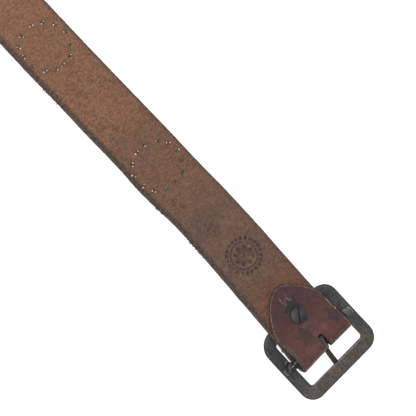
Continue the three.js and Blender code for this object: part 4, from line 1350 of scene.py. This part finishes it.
def one_stud():
    """A domed head under the leather and two flat legs that curl over on its back."""
    dome = [(0.15, 0.0), (0.9, 0.1), (1.6, 0.42), (2.1, 0.95), (2.4, 1.5)]
    dome += [(STUD_RADIUS, 2.0), (2.2, 2.2), (0.3, 2.2)]
    parts = [turned_piece(dome, 18, (0, 0, 0))]
    out = left_of(np.gradient(np.array(LEG_BEND)[:, :2], axis=0))
    for side in (-1, 1):
        rings = []
        for (x, z, half, thick), (a, b) in zip(LEG_BEND, out):
            rings.append(section_ring((side * x, 0, z), (0, 1, 0), (side * a, 0, b), half, thick, 10, 2.8))
        parts.append(lofted(rings))
    points, faces = joined(parts)
    made = recalculated(mesh_piece("one_stud", np.array(points) - (BAR_X, 0, 0), faces, []))
    wear_of(made, 0.6)
    return made


def make_studs(nickel):
    """One piece for each ring of studs, seated on the strap."""
    stud, tree, made = one_stud(), stud_tree(), []
    for number, (places, legs, dull) in enumerate(STUD_RINGS, 1):
        spots = np.column_stack([places, eased(HEIGHTS, places[:, 0]) - STUD_SEAT])
        spots[:, 2] += sag(spots)
        ring = mesh_piece(f"studs_ring_{number}", spots, [], [])
        give_value(ring.data, "turn", legs)
        give_value(ring.data, "dull", dull)
        made.append(tree.run(ring, {"Stud": stud, "Seed": number, "Metal": nickel}))
    bpy.data.objects.remove(stud)
    return made


def make_fibres(fibre):
    """Fibres along both long edges, most of them on the side nearer the viewer."""
    line = hide_outline()
    tree, made = fibre_tree(), []
    for name, side, level, most in (("fibres_near", -1, 2.2, 0.55), ("fibres_far", 1, 2.4, 0.25)):
        rows = line[(np.sign(line[:, 1]) == side) & (line[:, 0] < on_strap(-14))]
        rows = rows[np.argsort(rows[:, 0])]
        points = hide_point(rows[:, 0], rows[:, 1], np.full(len(rows), level))
        points[:, 1] -= side * 0.25
        points[:, 2] += sag(points)
        grown = mesh_piece(name, points, [], [], edges=[(i, i + 1) for i in range(len(points) - 1)])
        out = grown.data.attributes.new("outward", "FLOAT_VECTOR", "POINT")
        out.data.foreach_set("vector", np.tile((0, side, 0.1), (len(points), 1)).astype(np.float32).ravel())
        share = most * smooth(0.5 + 1.3 * wave(points, 14.0, 21 + side))
        give_value(grown.data, "loose", np.clip(share, 0.02, 1))
        made.append(tree.run(grown, {"Seed": 40 + side, "Fibre": fibre}))
    return made


# Scene


def floor():
    """A white table that glows a little, as a product table does, so that shadows stay faint."""
    made, n = material("pale_floor")
    colour = n.mix(n.noise(n.own(), 3.0), tone(216, 216, 216), tone(220, 220, 220))
    surface(n, colour, 0.8, None, Specular_IOR_Level=0.1, Emission_Color=(1, 1, 1, 1), Emission_Strength=0.75)
    mesh = bpy.data.meshes.new("floor")
    mesh.from_pydata([(-6, -6, 0), (6, -6, 0), (6, 6, 0), (-6, 6, 0)], [], [(0, 1, 2, 3)])
    mesh.materials.append(made)
    shown("floor", mesh)


def lights():
    """White light from all sides, and one soft lamp high above the belt's lower side."""
    world = bpy.data.worlds.new("studio")
    bpy.context.scene.world = world
    world.use_nodes = True
    sky = world.node_tree.nodes["Background"].inputs
    sky["Color"].default_value, sky["Strength"].default_value = (1.0, 1.0, 1.0, 1), 0.75
    light = bpy.data.lights.new("key", "AREA")
    light.shape, light.size, light.energy = "SQUARE", 1.2, 17.0
    place = Vector((0.05, -0.3, 2.2))
    aim = (Vector((0.38, 0, 0)) - place).to_track_quat("-Z", "Y").to_matrix().to_4x4()
    shown("key", light).matrix_world = Matrix.Translation(place) @ aim


def camera():
    """Looks down on the buckle end, leaning towards the strap's lower side, as the photograph does."""
    turn, lean, pixel, picture, far = math.radians(46.0), math.radians(14.0), 0.6384e-3, 416, 5.0
    right = Vector((math.cos(turn) * math.cos(lean), math.sin(turn) * math.cos(lean), math.sin(lean)))
    up = Vector((-math.sin(turn), math.cos(turn), 0))
    back = right.cross(up)
    seen, column, row = (1.6, 0, 2.0), 317.83, 341.48   # a point of the belt, and where the picture has it
    middle = Vector(placed([seen])[0]) + right * ((picture / 2 - column) * pixel)
    middle += up * ((row - picture / 2) * pixel)
    data = bpy.data.cameras.new("camera")
    data.sensor_width, data.lens, data.clip_end = 36, 36 * far / (picture * pixel), 20
    obj = shown("camera", data)
    facing = Matrix((right, up, back)).transposed().to_4x4()
    obj.matrix_world = Matrix.Translation(middle + back * far) @ facing
    bpy.context.scene.camera = obj


def own(made, body, slot, *nodes):
    """A finished piece moves with its body and stands for the plain shapes it replaces. Its slot is not used.
    """
    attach(made, body)
    if nodes:
        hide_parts(*nodes)


def main():
    camera()
    lights()
    floor()
    dark_metal = dark_gunmetal("dark_gunmetal")
    # the bar's and the prong's light lines are painted highlights
    bar_metal = dark_gunmetal("bar_painted_highlight", ("X", BAR_X - 0.75, 0.4, -3, 3))
    prong_metal = dark_gunmetal("prong_painted_highlight", ("Y", 1.05, 0.5, 0.2, 8.0), tone(66, 56, 55))
    own(make_hide([suede_back(), red_brown_front(), dark_edge()]), "belt", "leather", "strap", "strap_fold")
    for made in make_fibres(loose_fibre()):
        own(made, "belt", "leather")
    for number, made in enumerate(make_studs(tarnished_nickel()), 1):
        own(made, "belt", "studs", *[n for n in frame["nodes"] if n.startswith(f"stud_{number}_")])
    for made, body, node in (
        (make_buckle(antique_gunmetal()), "buckle", "buckle_frame"),
        (make_bar(bar_metal), "buckle", "centre_bar"),
        (make_prong(prong_metal), "prong", "prong"),
        (make_screw(dark_metal), "belt", "screw"),
        (make_post(dark_metal), "belt", "screw_post"),
    ):
        recalculated(made)
        wear_of(made, 0.5, in_driver_slot if node == "screw" else None)
        own(made, body, "gunmetal", node)
    bpy.context.scene.view_settings.view_transform = "Standard"


main()
